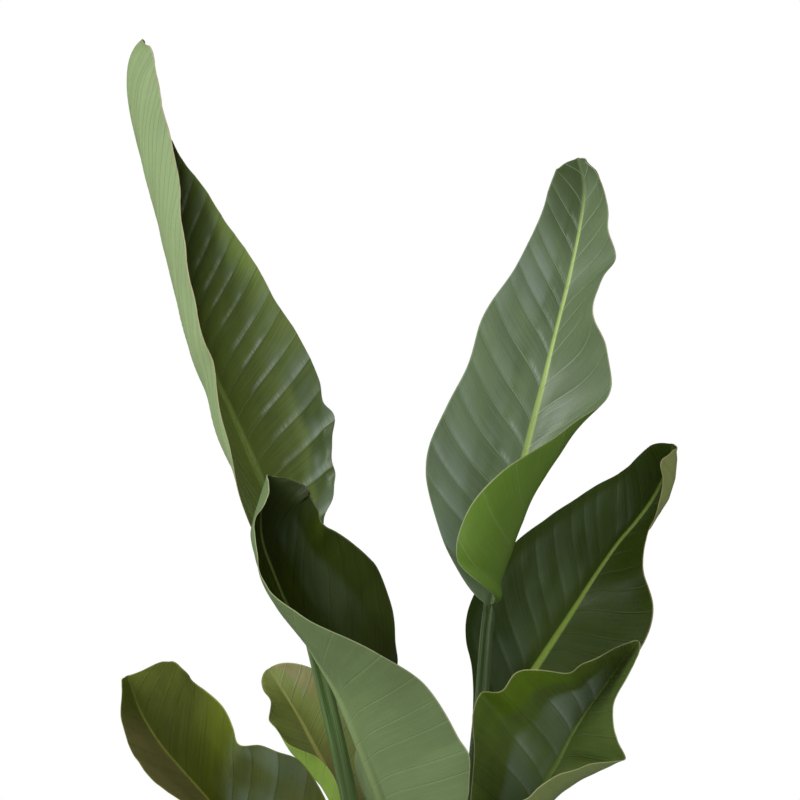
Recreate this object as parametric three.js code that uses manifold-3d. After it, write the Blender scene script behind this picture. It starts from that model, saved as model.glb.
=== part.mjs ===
// A young bird of paradise plant in a grower's pot: seven large leaves, each grown as one
// piece of stalk, midrib and blade, standing in potting mix.
// Millimetres, +Z up, origin in the middle of the pot's base. The plant is seen from -Y.
import * as THREE from 'three';
import Module from 'manifold-3d';
import { mergeVertices } from 'three/addons/utils/BufferGeometryUtils.js';

const wasm = await Module();
wasm.setup();

// Pot and soil
const potHeight = 225;
const potTopRadius = 118;
const potBaseRadius = 88;
const potWall = 2.6;
const potFloor = 3.2;
const rimReach = 6;
const rimDepth = 14;
const drainHoles = 6;
const drainHoleRadius = 6;
const drainHoleCircle = 56;
const potSegments = 72;
const soilEdgeHeight = 209;
const soilDome = 8;
const soilRelief = 1.3;
const fitGap = 0.35;

// Leaves
const bladeThickness = 1.0;
const bladeRows = 24;
const stalkRows = 8;
const rowsCrowdedAtEnds = 0.35;
const columnShares = [0.27, 0.53, 0.78, 1];
const baseRounding = 0.08;
const tipRounding = 0.16;
const openedNearBase = 0.05;
const openedNearTip = 0.03;
const foldShareAtBase = 0.7;
const foldShareAtTip = 0.9;
const curlShareAtEnds = 0.6;
const tipHalfWidth = 1.5;
const midribTipHalfWidth = 1.6;
const holeReach = 80;

// The veins of a flat blade lean toward the tip by these degrees.
const usualSweep = [[0, 5], [0.1, 13], [0.2, 20], [0.4, 28], [0.7, 33], [1, 38]];

// stalkRadius: at the foot and where the blade starts. blade: length from base to tip.
// tipReach: margins lean forward by no more than this share of the length left to the tip.
// Every row starts with u, the place along the blade from 0 at its base to 1 at its tip.
// sweep: degrees that the veins lean toward the tip.
// turn: degrees that the upper side is turned about the midrib, from facing -Y toward +X.
// left, right: degrees between the half and the flat where it leaves the midrib, degrees that
// it curls on from there to its margin, and its width.
const leaves = [
  {
    name: 'leaf_upper_left',
    colour: 0x3f5f2d,
    stalkRadius: [9, 6.5],
    blade: 480,
    tipReach: 0.8,
    midrib: [
      [-26, 10, 160], [-30, 10, 260], [-71, 15, 466], [-96, 18, 577],
      [-116, 20, 653], [-147, 20, 742], [-175, 22, 807], [-191, 22, 842],
      [-212, 25, 902], [-233, 28, 966], [-250, 30, 1018], [-262, 30, 1066],
      [-264, 28, 1090], [-262, 27, 1107], [-257, 26, 1118], [-250, 25, 1125],
    ],
    sweep: usualSweep,
    turn: [[0, 0], [1, 0]],
    left: [
      [0, 55, 18, 45], [0.1, 65, 18, 67], [0.2, 47, 74, 82], [0.3, 58, 74, 90],
      [0.4, 62, 70, 91], [0.5, 65, 76, 86], [0.6, 70, 84, 80], [0.7, 79, 82, 71],
      [0.78, 87, 74, 62], [0.88, 97, 64, 49], [0.95, 98, 56, 46], [1, 90, 40, 40],
    ],
    right: [
      [0, 40, 10, 44], [0.05, 30, 12, 58], [0.1, 22, 14, 72], [0.2, 16, 12, 86],
      [0.3, 22, 12, 89], [0.4, 32, 14, 90], [0.5, 41, 12, 81], [0.6, 46, 12, 70],
      [0.7, 50, 8, 54], [0.88, 35, 30, 25], [1, 20, 20, 12],
    ],
  },
  {
    name: 'leaf_front_twisted',
    colour: 0x4a6a3c,
    stalkRadius: [8.5, 6],
    blade: 341,
    tipReach: 1.3,
    midrib: [
      [-6, -34, 160], [-6, -45, 260], [-26, -90, 428], [-45, -98, 487],
      [-66, -102, 542], [-81, -102, 576], [-98, -100, 604], [-112, -97, 627],
      [-123, -94, 647], [-134, -92, 673], [-143, -92, 698], [-145, -94, 716],
      [-143, -97, 735], [-138, -100, 754],
    ],
    sweep: [
      [0, 5], [0.2, 16], [0.4, 20], [0.55, 28], [0.72, 31], [0.85, 32], [1, 30],
    ],
    turn: [
      [0, 134], [0.16, 126], [0.3, 104], [0.4, 74], [0.5, 48], [0.7, 28], [1, 28],
    ],
    left: [
      [0, 18, 16, 60], [0.08, 18, 16, 78], [0.135, 19, 16, 89], [0.175, 22, 16, 86],
      [0.22, 25, 16, 86], [0.3, 32, 16, 85], [0.4, 41, 16, 81], [0.5, 42, 20, 77],
      [0.59, 40, 28, 71], [0.74, 37, 55, 62], [0.84, 38, 66, 49], [0.92, 45, 58, 42],
      [1, 42, 30, 24],
    ],
    right: [
      [0, 20, 20, 50], [0.16, 20, 16, 83], [0.3, 32, 16, 76], [0.4, 50, 12, 62],
      [0.45, 47, 12, 74], [0.5, 42, 12, 81], [0.545, 43, 12, 80], [0.595, 45, 12, 76],
      [0.695, 54, 12, 66], [0.79, 44, 10, 56], [0.88, 40, 10, 46], [0.94, 36, 10, 46],
      [1, 34, 10, 52],
    ],
  },
  {
    name: 'leaf_upper_right',
    colour: 0x4f6f48,
    stalkRadius: [8, 5.5],
    blade: 393,
    tipReach: 1,
    midrib: [
      [20, 22, 160], [22, 22, 260], [32, 5, 475], [40, 10, 564],
      [47, 12, 640], [62, 15, 705], [77, 18, 769], [98, 22, 850],
      [113, 26, 910], [125, 26, 966], [129, 20, 1000], [125, 12, 1022],
    ],
    sweep: usualSweep,
    turn: [[0, 0], [1, 0]],
    left: [
      [0, 10, 10, 24], [0.05, 10, 10, 40], [0.1, 10, 10, 60], [0.15, 9, 10, 76],
      [0.2, 8, 10, 83], [0.3, 8, 8, 77], [0.4, 8, 8, 68], [0.5, 8, 8, 66],
      [0.65, 8, 8, 48], [0.8, 8, 8, 36], [0.9, 8, 8, 31], [1, 8, 8, 28],
    ],
    right: [
      [0, 60, 140, 74], [0.1, 50, 164, 87], [0.2, 42, 126, 86], [0.25, 32, 112, 84],
      [0.3, 22, 97, 82], [0.42, 20, 40, 72], [0.5, 34, 35, 66], [0.56, 51, 27, 59],
      [0.61, 54, 24, 57], [0.66, 50, 22, 53], [0.71, 37, 20, 48], [0.78, 47, 19, 39],
      [0.83, 46, 22, 35], [0.88, 36, 55, 34], [0.93, 24, 100, 42], [1, 22, 105, 36],
    ],
  },
  {
    name: 'leaf_mid_right',
    colour: 0x34502a,
    stalkRadius: [7.5, 5.5],
    blade: 320,
    tipReach: 0.9,
    midrib: [
      [38, 8, 160], [42, 15, 260], [29, 70, 451], [46, 92, 514], [69, 100, 550],
      [91, 105, 583], [125, 110, 634], [144, 113, 663], [163, 114, 690], [178, 113, 708],
      [191, 110, 726], [200, 106, 743], [206, 102, 760], [210, 98, 777],
    ],
    sweep: usualSweep,
    turn: [[0, 0], [1, 0]],
    left: [
      [0, 10, 10, 20], [0.06, 10, 10, 26], [0.12, 10, 10, 48], [0.18, 10, 10, 76],
      [0.25, 10, 10, 86], [0.35, 12, 10, 83], [0.42, 15, 10, 79], [0.5, 18, 10, 70],
      [0.65, 18, 8, 53], [0.8, 10, 8, 36], [0.9, 8, 8, 28], [1, 8, 8, 26],
    ],
    right: [
      [0, 10, 20, 35], [0.1, 10, 20, 46], [0.2, 12, 18, 58], [0.28, 14, 18, 69],
      [0.38, 19, 20, 73], [0.46, 28, 22, 68], [0.53, 41, 30, 57], [0.6, 44, 42, 48],
      [0.7, 42, 70, 43], [0.76, 38, 100, 46], [0.81, 34, 126, 50], [0.87, 34, 146, 50],
      [0.94, 38, 120, 38], [1, 40, 90, 24],
    ],
  },
  {
    name: 'leaf_lower_right',
    colour: 0x3d5a30,
    stalkRadius: [7.5, 5.5],
    blade: 300,
    tipReach: 0.6,
    midrib: [
      [24, -28, 160], [32, -40, 260], [29, -46, 371], [41, -50, 400], [70, -62, 461],
      [97, -78, 510], [121, -90, 554], [142, -99, 585], [154, -102, 603], [166, -105, 618],
    ],
    sweep: [[0, 5], [0.25, 18], [0.5, 26], [0.7, 28], [1, 30]],
    turn: [[0, 0], [1, 0]],
    left: [
      [0, 50, 10, 36], [0.15, 50, 10, 56], [0.26, 48, 10, 66], [0.34, 38, 10, 71],
      [0.44, 20, 14, 76], [0.49, 12, 12, 87], [0.54, 8, 8, 87], [0.6, 16, 18, 79],
      [0.67, 16, 22, 76], [0.72, 28, 26, 73], [0.77, 42, 24, 58], [0.82, 40, 22, 46],
      [0.9, 48, 20, 32], [1, 42, 20, 14],
    ],
    right: [
      [0, 65, 100, 45], [0.1, 62, 104, 60], [0.25, 58, 112, 78], [0.36, 57, 106, 86],
      [0.42, 60, 80, 88], [0.465, 58, 79, 88], [0.495, 54, 82, 88], [0.52, 46, 91, 88],
      [0.55, 40, 88, 89], [0.57, 31, 95, 91], [0.6, 34, 70, 95], [0.625, 52, 26, 95],
      [0.67, 62, 20, 87], [0.7, 67, 18, 80], [0.755, 73, 16, 69], [0.8, 76, 14, 59],
      [0.85, 76, 14, 49], [0.9, 75, 13, 38], [0.945, 70, 12, 27], [1, 48, 12, 11],
    ],
  },
  {
    name: 'leaf_lower_left',
    colour: 0x42551c,
    stalkRadius: [7.5, 5.5],
    blade: 289,
    tipReach: 1.3,
    midrib: [
      [-44, -12, 160], [-52, -14, 260], [-72, -20, 322], [-99, -22, 360],
      [-143, -28, 420], [-192, -42, 482], [-214, -50, 508], [-229, -57, 527],
      [-241, -65, 547], [-248, -70, 562], [-252, -73, 574], [-256, -76, 587],
    ],
    sweep: [
      [0, 5], [0.24, 20], [0.385, 30], [0.53, 35],
      [0.75, 36], [0.85, 36], [1, 31],
    ],
    turn: [[0, 0], [1, 0]],
    left: [
      [0, 75, 10, 45], [0.25, 78, 10, 76], [0.46, 80, 10, 75], [0.597, 72, 10, 66],
      [0.669, 70, 10, 62], [0.74, 69, 10, 54], [0.846, 70, 10, 40], [0.93, 68, 10, 26],
      [1, 60, 10, 20],
    ],
    right: [
      [0, 10, 10, 40], [0.123, 8, 8, 60], [0.25, 5, 5, 78], [0.328, 6, 5, 82],
      [0.39, 22, 8, 83], [0.44, 29, 8, 80], [0.49, 37, 8, 73], [0.53, 29, 8, 71],
      [0.59, 18, 8, 68], [0.675, 10, 5, 61], [0.78, 5, 5, 54], [0.87, 5, 5, 47],
      [0.94, 5, 5, 46], [1, 5, 5, 50],
    ],
  },
  {
    name: 'leaf_back_small',
    colour: 0x6a6f3c,
    stalkRadius: [6, 4.5],
    blade: 230,
    tipReach: 0.6,
    midrib: [
      [-16, 38, 160], [-20, 45, 260], [-37, 75, 377], [-63, 82, 430], [-87, 88, 480],
      [-107, 90, 517], [-118, 92, 537], [-130, 95, 556], [-145, 102, 580],
    ],
    sweep: [[0, 5], [0.3, 12], [0.7, 16], [1, 20]],
    turn: [[0, 0], [1, 0]],
    left: [
      [0, 50, 90, 30], [0.2, 50, 86, 52], [0.4, 50, 90, 59], [0.475, 44, 101, 58],
      [0.556, 27, 124, 57], [0.655, 22, 92, 48], [0.73, 35, 50, 41], [0.773, 45, 20, 38],
      [0.845, 58, 18, 30], [0.917, 35, 10, 19], [0.96, 15, 10, 16], [1, 10, 10, 14],
    ],
    right: [
      [0, 10, 10, 30], [0.2, 10, 10, 52], [0.4, 10, 10, 58], [0.7, 10, 10, 47],
      [0.85, 10, 10, 35], [0.92, 10, 10, 28], [1, 10, 10, 21],
    ],
  },
];

const radians = THREE.MathUtils.degToRad;
const lerp = THREE.MathUtils.lerp;

// Smooth values between the rows [u, a, b, ...], by a cubic whose slopes are the mean of the
// slopes on either side of each row.
function valuesAt(rows, u) {
  const last = rows.length - 1;
  const place = THREE.MathUtils.clamp(u, rows[0][0], rows[last][0]);
  let i = 0;
  while (i < last - 1 && place >= rows[i + 1][0]) {
    i += 1;
  }
  const slope = (row, k) => (rows[row + 1][k] - rows[row][k]) / (rows[row + 1][0] - rows[row][0]);
  const tangent = (row, k) => {
    if (row === 0) {
      return slope(0, k);
    }
    if (row === last) {
      return slope(last - 1, k);
    }
    return (slope(row - 1, k) + slope(row, k)) / 2;
  };
  const span = rows[i + 1][0] - rows[i][0];
  const t = (place - rows[i][0]) / span;
  return rows[i].slice(1).map((value, index) => {
    const k = index + 1;
    return (2 * t ** 3 - 3 * t ** 2 + 1) * value
      + (t ** 3 - 2 * t ** 2 + t) * span * tangent(i, k)
      + (3 * t ** 2 - 2 * t ** 3) * rows[i + 1][k]
      + (t ** 3 - t ** 2) * span * tangent(i + 1, k);
  });
}

// The midrib's curve, with its place, its direction, and the directions out of the upper side
// and to the right at a length along it.
function midribOf(leaf) {
  const curve = new THREE.CatmullRomCurve3(leaf.midrib.map((p) => new THREE.Vector3(...p)));
  curve.arcLengthDivisions = 800;
  const length = curve.getLength();
  const frameAt = (s, turn) => {
    const share = THREE.MathUtils.clamp(s / length, 0, 1);
    const along = curve.getTangentAt(share);
    const front = new THREE.Vector3(0, -1, 0);
    front.addScaledVector(along, -front.dot(along)).normalize();
    const across = new THREE.Vector3().crossVectors(along, front);
    const out = front.multiplyScalar(Math.cos(turn)).addScaledVector(across, Math.sin(turn));
    const right = new THREE.Vector3().crossVectors(along, out);
    return { place: curve.getPointAt(share), along, out, right };
  };
  return { length, frameAt };
}

// Sideways and outward distance at share v of the way from midrib to margin of a curled half.
function halfSection(fold, curl, width, v) {
  const end = fold + curl * v;
  return [
    (width * (Math.sin(end) - Math.sin(fold))) / curl,
    (width * (Math.cos(fold) - Math.cos(end))) / curl,
  ];
}

// One row of the blade: points of its middle surface from the left margin to the right, the
// way that its upper side faces there, and how far the lower side stands out for the midrib.
function bladeRow(leaf, midrib, u) {
  const turn = radians(valuesAt(leaf.turn, u)[0]);
  const sweep = radians(valuesAt(leaf.sweep, u)[0]);
  const frame = midrib.frameAt(midrib.length - leaf.blade * (1 - u), turn);
  const tipRound = Math.sqrt(1 - Math.max(0, 1 - (1 - u) / tipRounding) ** 2);
  const ends = Math.sqrt(1 - Math.max(0, 1 - u / baseRounding) ** 2) * tipRound;
  const room = leaf.tipReach * leaf.blade * (1 - u) + 0.1;
  const leastWidth = lerp(leaf.stalkRadius[1], tipHalfWidth, u);
  const ribHalf = lerp(leaf.stalkRadius[1], midribTipHalfWidth, Math.sqrt(u));
  const keel = lerp(leaf.stalkRadius[1], midribTipHalfWidth, u ** 0.7);
  const besideKeel = 0.87 * leaf.stalkRadius[1] * (1 - u / 0.1);
  const fromBase = THREE.MathUtils.smoothstep(u, 0, openedNearBase);
  const fromTip = THREE.MathUtils.smoothstep(1 - u, 0, openedNearTip);
  const foldShare = lerp(foldShareAtBase, 1, fromBase) * lerp(foldShareAtTip, 1, fromTip);
  const curlShare = lerp(curlShareAtEnds, 1, Math.min(fromBase, fromTip));
  const halfRow = (rows, sign) => {
    const [fullFold, fullCurl, fullWidth] = valuesAt(rows, u);
    const fold = fullFold * foldShare;
    const curl = fullCurl * curlShare;
    const width = Math.hypot(fullWidth * ends, leastWidth);
    const free = width * Math.tan(sweep);
    const reach = (free * room) / Math.cbrt(free ** 3 + room ** 3);
    const ribShare = Math.min(0.5, ribHalf / width);
    const shares = [ribShare, ...columnShares.map((share) => lerp(ribShare, 1, share))];
    return shares.map((v, column) => {
      const [across, outward] = halfSection(radians(fold), radians(curl), width, v);
      const point = frame.place.clone()
        .addScaledVector(frame.right, sign * across)
        .addScaledVector(frame.out, outward)
        .addScaledVector(frame.along, reach * v ** 0.9);
      const slope = radians(fold + curl * v);
      const facing = frame.out.clone().multiplyScalar(Math.cos(slope))
        .addScaledVector(frame.right, -sign * Math.sin(slope));
      const ribDepth = column === 0 ? Math.max(0, besideKeel - bladeThickness / 2) : 0;
      return { point, facing, below: frame.out.clone().multiplyScalar(-ribDepth) };
    });
  };
  const middle = {
    point: frame.place,
    facing: frame.out,
    below: frame.out.clone().multiplyScalar(bladeThickness / 2 - keel),
  };
  return [...halfRow(leaf.left, -1).reverse(), middle, ...halfRow(leaf.right, 1)];
}

// The blade's two faces, row by row, half a thickness either side of its middle surface.
function bladeRings(leaf, midrib) {
  const rows = [];
  for (let i = 0; i <= bladeRows; i += 1) {
    const even = i / bladeRows;
    const eased = 0.5 - 0.5 * Math.cos(Math.PI * even);
    rows.push(bladeRow(leaf, midrib, lerp(even, eased, rowsCrowdedAtEnds)));
  }
  return rows.map((row, i) => {
    const before = rows[Math.max(i - 1, 0)];
    const after = rows[Math.min(i + 1, bladeRows)];
    return row.map(({ point, facing, below }, j) => {
      const left = row[Math.max(j - 1, 0)].point;
      const right = row[Math.min(j + 1, row.length - 1)].point;
      const across = right.clone().sub(left);
      const along = after[j].point.clone().sub(before[j].point);
      const normal = across.cross(along).normalize();
      if (normal.dot(facing) < 0) {
        normal.negate();
      }
      return {
        upper: point.clone().addScaledVector(normal, bladeThickness / 2),
        lower: point.clone().addScaledVector(normal, -bladeThickness / 2).add(below),
      };
    });
  });
}

// The stalk's rounded rings from its foot up to the blade, made wider and deeper by extra.
// Toward the blade their upper side flattens into the midrib's channel.
function stalkRings(leaf, midrib, extra) {
  const turn = radians(valuesAt(leaf.turn, 0)[0]);
  const shares = [0.5, ...columnShares.map((share) => lerp(0.5, 1, share))];
  const columns = [...shares.map((share) => -share).reverse(), 0, ...shares];
  const rings = [];
  for (let i = 0; i < stalkRows; i += 1) {
    const share = i / stalkRows;
    const radius = lerp(leaf.stalkRadius[0], leaf.stalkRadius[1], share) + extra;
    const upperHeight = lerp(1, 0.25, THREE.MathUtils.smoothstep(share, 0.5, 1));
    const frame = midrib.frameAt((midrib.length - leaf.blade) * share, turn);
    if (i === 0) {
      frame.place.addScaledVector(frame.along, -extra);
    }
    rings.push(columns.map((x) => {
      const round = Math.max(radius * Math.sqrt(1 - x * x), bladeThickness / 2);
      const point = frame.place.clone().addScaledVector(frame.right, x * radius);
      const upperRound = Math.max(round * upperHeight, bladeThickness / 2);
      return {
        upper: point.clone().addScaledVector(frame.out, upperRound),
        lower: point.clone().addScaledVector(frame.out, -round),
      };
    }));
  }
  return rings;
}

// A closed skin round rings of upper and lower points, split alike on both faces.
function skin(rings) {
  const positions = [];
  for (const ring of rings) {
    for (const { upper, lower } of ring) {
      positions.push(...upper.toArray(), ...lower.toArray());
    }
  }
  const columns = rings[0].length;
  const upper = (i, j) => 2 * (i * columns + j);
  const lower = (i, j) => upper(i, j) + 1;
  const faces = [];
  const quad = (a, b, c, d) => faces.push(a, b, c, a, c, d);
  for (let i = 0; i < rings.length - 1; i += 1) {
    for (let j = 0; j < columns - 1; j += 1) {
      quad(upper(i, j), upper(i, j + 1), upper(i + 1, j + 1), upper(i + 1, j));
      faces.push(lower(i, j), lower(i + 1, j + 1), lower(i, j + 1));
      faces.push(lower(i, j), lower(i + 1, j), lower(i + 1, j + 1));
    }
    const edge = columns - 1;
    quad(upper(i, edge), lower(i, edge), lower(i + 1, edge), upper(i + 1, edge));
    quad(lower(i, 0), upper(i, 0), upper(i + 1, 0), lower(i + 1, 0));
  }
  const end = rings.length - 1;
  for (let j = 0; j < columns - 1; j += 1) {
    quad(lower(0, j), lower(0, j + 1), upper(0, j + 1), upper(0, j));
    quad(upper(end, j), upper(end, j + 1), lower(end, j + 1), lower(end, j));
  }
  const geometry = new THREE.BufferGeometry();
  geometry.setAttribute('position', new THREE.Float32BufferAttribute(positions, 3));
  geometry.setIndex(faces);
  return geometry;
}

function leafGeometry(leaf) {
  const midrib = midribOf(leaf);
  return skin([...stalkRings(leaf, midrib, 0), ...bladeRings(leaf, midrib)]);
}

// The hole that a stalk stands in: its own shape, wider and deeper by the gap.
function holeGeometry(leaf) {
  const midrib = midribOf(leaf);
  const spacing = (midrib.length - leaf.blade) / stalkRows;
  const rows = Math.ceil(holeReach / spacing) + 1;
  return skin(stalkRings(leaf, midrib, fitGap).slice(0, rows));
}

function toSolid(geometry) {
  const bare = geometry.clone();
  bare.deleteAttribute('normal');
  bare.deleteAttribute('uv');
  const merged = mergeVertices(bare, 1e-4);
  return new wasm.Manifold(new wasm.Mesh({
    numProp: 3,
    vertProperties: new Float32Array(merged.attributes.position.array),
    triVerts: new Uint32Array(merged.index.array),
  }));
}

function fromSolid(solid) {
  const { vertProperties, triVerts } = solid.getMesh();
  const geometry = new THREE.BufferGeometry();
  geometry.setAttribute('position', new THREE.Float32BufferAttribute(vertProperties, 3));
  geometry.setIndex(Array.from(triVerts));
  return geometry;
}

function potRadiusAt(z) {
  return lerp(potBaseRadius, potTopRadius, z / potHeight);
}

function potGeometry() {
  const rimUnder = potHeight - rimDepth;
  const profile = [
    [0, 0],
    [potBaseRadius - 3, 0],
    [potRadiusAt(3), 3],
    [potRadiusAt(rimUnder), rimUnder],
    [potTopRadius + rimReach - 1, rimUnder],
    [potTopRadius + rimReach, rimUnder + 1],
    [potTopRadius + rimReach, potHeight - 2],
    [potTopRadius + rimReach - 2, potHeight],
    [potTopRadius - potWall + 1, potHeight],
    [potRadiusAt(potHeight - 2) - potWall, potHeight - 2],
    [potRadiusAt(potFloor + 3) - potWall, potFloor + 3],
    [potRadiusAt(potFloor) - potWall - 3, potFloor],
    [0, potFloor],
  ];
  const lathe = new THREE.LatheGeometry(profile.map((p) => new THREE.Vector2(...p)), potSegments);
  lathe.rotateX(Math.PI / 2);
  let pot = toSolid(lathe);
  for (let i = 0; i < drainHoles; i += 1) {
    const angle = (2 * Math.PI * (i + 0.5)) / drainHoles;
    const drill = new THREE.CylinderGeometry(drainHoleRadius, drainHoleRadius, 4 * potFloor, 20);
    drill.rotateX(Math.PI / 2);
    drill.translate(drainHoleCircle * Math.cos(angle), drainHoleCircle * Math.sin(angle), potFloor / 2);
    pot = pot.subtract(toSolid(drill));
  }
  return fromSolid(pot);
}

// Height of the potting mix, lumpy and a little domed.
function soilTop(x, y, radius) {
  const share = Math.hypot(x, y) / radius;
  const lumps = Math.sin(x / 9 + 1) * Math.cos(y / 11) + 0.7 * Math.sin((x + 1.4 * y) / 7);
  return soilEdgeHeight + soilDome * (1 - share ** 2) + soilRelief * lumps;
}

function soilGeometry() {
  const segments = 48;
  const topRings = 7;
  const edgeRadius = potRadiusAt(soilEdgeHeight - 4) - potWall - fitGap;
  const floor = potFloor + fitGap;
  const floorRadius = potRadiusAt(floor + 3) - potWall - fitGap - 3;
  const lowRadius = potRadiusAt(floor + 3) - potWall - fitGap;
  const circle = (radius, heightAt) => {
    const points = [];
    for (let i = 0; i < segments; i += 1) {
      const angle = (2 * Math.PI * i) / segments;
      const x = radius * Math.cos(angle);
      const y = radius * Math.sin(angle);
      points.push([x, y, heightAt(x, y)]);
    }
    return points;
  };
  const circles = [
    circle(floorRadius, () => floor),
    circle(lowRadius, () => floor + 3),
    circle(edgeRadius, () => soilEdgeHeight - 4),
  ];
  for (let ring = topRings; ring >= 1; ring -= 1) {
    const radius = ((edgeRadius - 1.5) * ring) / topRings;
    circles.push(circle(radius, (x, y) => soilTop(x, y, edgeRadius)));
  }
  const positions = circles.flat(2);
  const bottomMiddle = circles.length * segments;
  const topMiddle = bottomMiddle + 1;
  positions.push(0, 0, floor, 0, 0, soilTop(0, 0, edgeRadius));
  const faces = [];
  for (let i = 0; i < segments; i += 1) {
    const next = (i + 1) % segments;
    for (let ring = 0; ring < circles.length - 1; ring += 1) {
      const low = ring * segments;
      const high = low + segments;
      faces.push(low + i, low + next, high + next, low + i, high + next, high + i);
    }
    const last = (circles.length - 1) * segments;
    faces.push(bottomMiddle, next, i, topMiddle, last + i, last + next);
  }
  const geometry = new THREE.BufferGeometry();
  geometry.setAttribute('position', new THREE.Float32BufferAttribute(positions, 3));
  geometry.setIndex(faces);
  let soil = toSolid(geometry);
  for (const leaf of leaves) {
    soil = soil.subtract(toSolid(holeGeometry(leaf)));
  }
  return fromSolid(soil);
}

function piece(name, geometry, colour, roughness) {
  const material = new THREE.MeshStandardMaterial({ color: colour, roughness, metalness: 0 });
  const mesh = new THREE.Mesh(geometry, material);
  mesh.name = name;
  return mesh;
}

const plant = new THREE.Group();
plant.add(piece('pot', potGeometry(), 0x2f3133, 0.7));
plant.add(piece('soil', soilGeometry(), 0x2b2019, 0.95));
for (const leaf of leaves) {
  plant.add(piece(leaf.name, leafGeometry(leaf), leaf.colour, 0.4));
}

export default plant;
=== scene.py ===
# A young bird of paradise plant in a grower's pot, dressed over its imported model.
# Lengths are in millimetres up to the point where a mesh is made, and metres from there on.
import math
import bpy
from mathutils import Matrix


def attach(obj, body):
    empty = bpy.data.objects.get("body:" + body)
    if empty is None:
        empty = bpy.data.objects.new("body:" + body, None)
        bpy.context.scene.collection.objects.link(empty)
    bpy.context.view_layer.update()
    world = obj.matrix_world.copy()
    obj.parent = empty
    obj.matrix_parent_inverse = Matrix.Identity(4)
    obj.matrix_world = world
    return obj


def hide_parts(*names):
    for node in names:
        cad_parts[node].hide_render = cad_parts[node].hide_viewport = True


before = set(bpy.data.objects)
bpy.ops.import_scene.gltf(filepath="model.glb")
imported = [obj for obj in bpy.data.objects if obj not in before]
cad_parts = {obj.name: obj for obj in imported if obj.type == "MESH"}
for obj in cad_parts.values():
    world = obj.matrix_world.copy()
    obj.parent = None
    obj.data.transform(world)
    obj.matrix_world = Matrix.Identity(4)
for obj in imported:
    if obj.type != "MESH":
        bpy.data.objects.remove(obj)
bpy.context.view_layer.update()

from types import SimpleNamespace

import bpy
import mathutils
import numpy as np

MM = 0.001

# Camera: level, looking along +Y at the middle of the photograph's frame
CAMERA_X = -29.75
CAMERA_Z = 816
CAMERA_DISTANCE = 3000
FRAME_WIDTH = 680
SENSOR_WIDTH = 36
SEEN_TO_METRES = 50

# Studio, in metres and watts: each light's name, place, size, power and colour
WORLD_STRENGTH = 0.75
WORLD_IN_GLOSS = 0.12
FLOOR_RADIUS = 3.5
FLOOR_COLOUR = (0.82, 0.82, 0.81)
LIT_POINT = (-0.05, 0, 0.75)
LIGHTS = [
    ("key", (-2.4, -1.5, 2.3), (1.6, 2.0), 70, (0.97, 0.99, 1.0)),
    ("side", (-2.8, -0.6, 0.7), (1.4, 1.8), 18, (0.95, 0.98, 1.0)),
    ("front", (-0.6, -3.4, 1.9), (1.6, 1.6), 14, (1.0, 1.0, 1.0)),
]

# Pot
POT_HEIGHT = 225
POT_TOP_RADIUS = 118
POT_BASE_RADIUS = 88
POT_WALL = 2.6
POT_FLOOR = 3.2
RIM_REACH = 6
RIM_DEPTH = 14
FOOT_INSET = 1
CORNER_ROUNDING = 2.2
POT_SEGMENTS = 180
DRAIN_HOLES = 6
DRAIN_HOLE_RADIUS = 6
DRAIN_HOLE_CIRCLE = 56

# Potting mix: each size of lumps has a height, a length, a seed and a number of waves. A pair
# holds the lowest and highest value of a random number. A chip's size is such a number squared,
# and its length, width, thickness and lift are shares of that size.
SOIL_EDGE_HEIGHT = 209
SOIL_DOME = 8
SOIL_GAP = 0.35
SOIL_FOOT_BEVEL = 3
SOIL_SIDE_DROP = 5
SOIL_EDGE_DROP = 4
SOIL_EDGE_INSET = 0.6
SOIL_LUMPS = [(1.6, 26, 5, 6), (0.9, 9, 6, 6), (0.7, 4, 7, 9)]
SOIL_SEGMENTS = 200
SOIL_RINGS = 60
CHIPS = 520
CHIP_SIZES = (1.3, 2.6)
CHIP_LENGTHS = (0.75, 1.1)
CHIP_WIDTHS = (0.6, 1.2)
CHIP_WIDTH = 0.5
CHIP_THICKNESSES = (0.6, 1.1)
CHIP_THICKNESS = 0.2
CHIP_TILTS = (-0.5, 0.5)
CHIP_TONES = (0.2, 1)
CHIP_LIFT = 0.1
CHIP_CORNERS = 6
CHIP_SEED = 23
CHIPS_FROM_STALK = 10

# Leaf sizes that the solids have too
BLADE_THICKNESS = 1.0
MARGIN_THICKNESS = 0.55
BASE_ROUNDING = 0.08
TIP_ROUNDING = 0.16
OPENED_NEAR_BASE = 0.05
OPENED_NEAR_TIP = 0.03
FOLD_SHARE_AT_BASE = 0.7
FOLD_SHARE_AT_TIP = 0.9
CURL_SHARE_AT_ENDS = 0.6
TIP_HALF_WIDTH = 1.5
MIDRIB_TIP_HALF_WIDTH = 1.6
WIDEST_MIDRIB_SHARE = 0.5
LEAST_ROOM = 0.1

# How finely a leaf is divided
BASE_ROWS = 26
MIDDLE_ROWS = 188
TIP_ROWS = 22
STALK_ROWS = 60
RIB_COLUMNS = [0.2, 0.4, 0.6, 0.8, 0.93, 1.0]
COLUMNS_BESIDE_RIB = [0.015, 0.04]
FIRST_EVEN_COLUMN = 0.075
BLADE_COLUMNS = 46
CURVE_STEPS = 60
DIRECTION_STEP = 2.0

# Side veins, and the blade's swellings between them
VEIN_START = 5.0
VEIN_START_LENGTH = 7.0
VEIN_BEND_START = 0.4
MOST_VEINS = 90
FIRST_VEIN = -400
VEIN_UNEVENNESS = (0.75, 1.25)
CUSHION_HEIGHTS = (0.35, 0.85)
CUSHION_TILTS = (-0.45, 0.45)
CUSHION_RISE = 9
CUSHION_LOSS_AT_MARGIN = 0.45
CUSHIONS_FADE = (0.8, 1)

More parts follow.
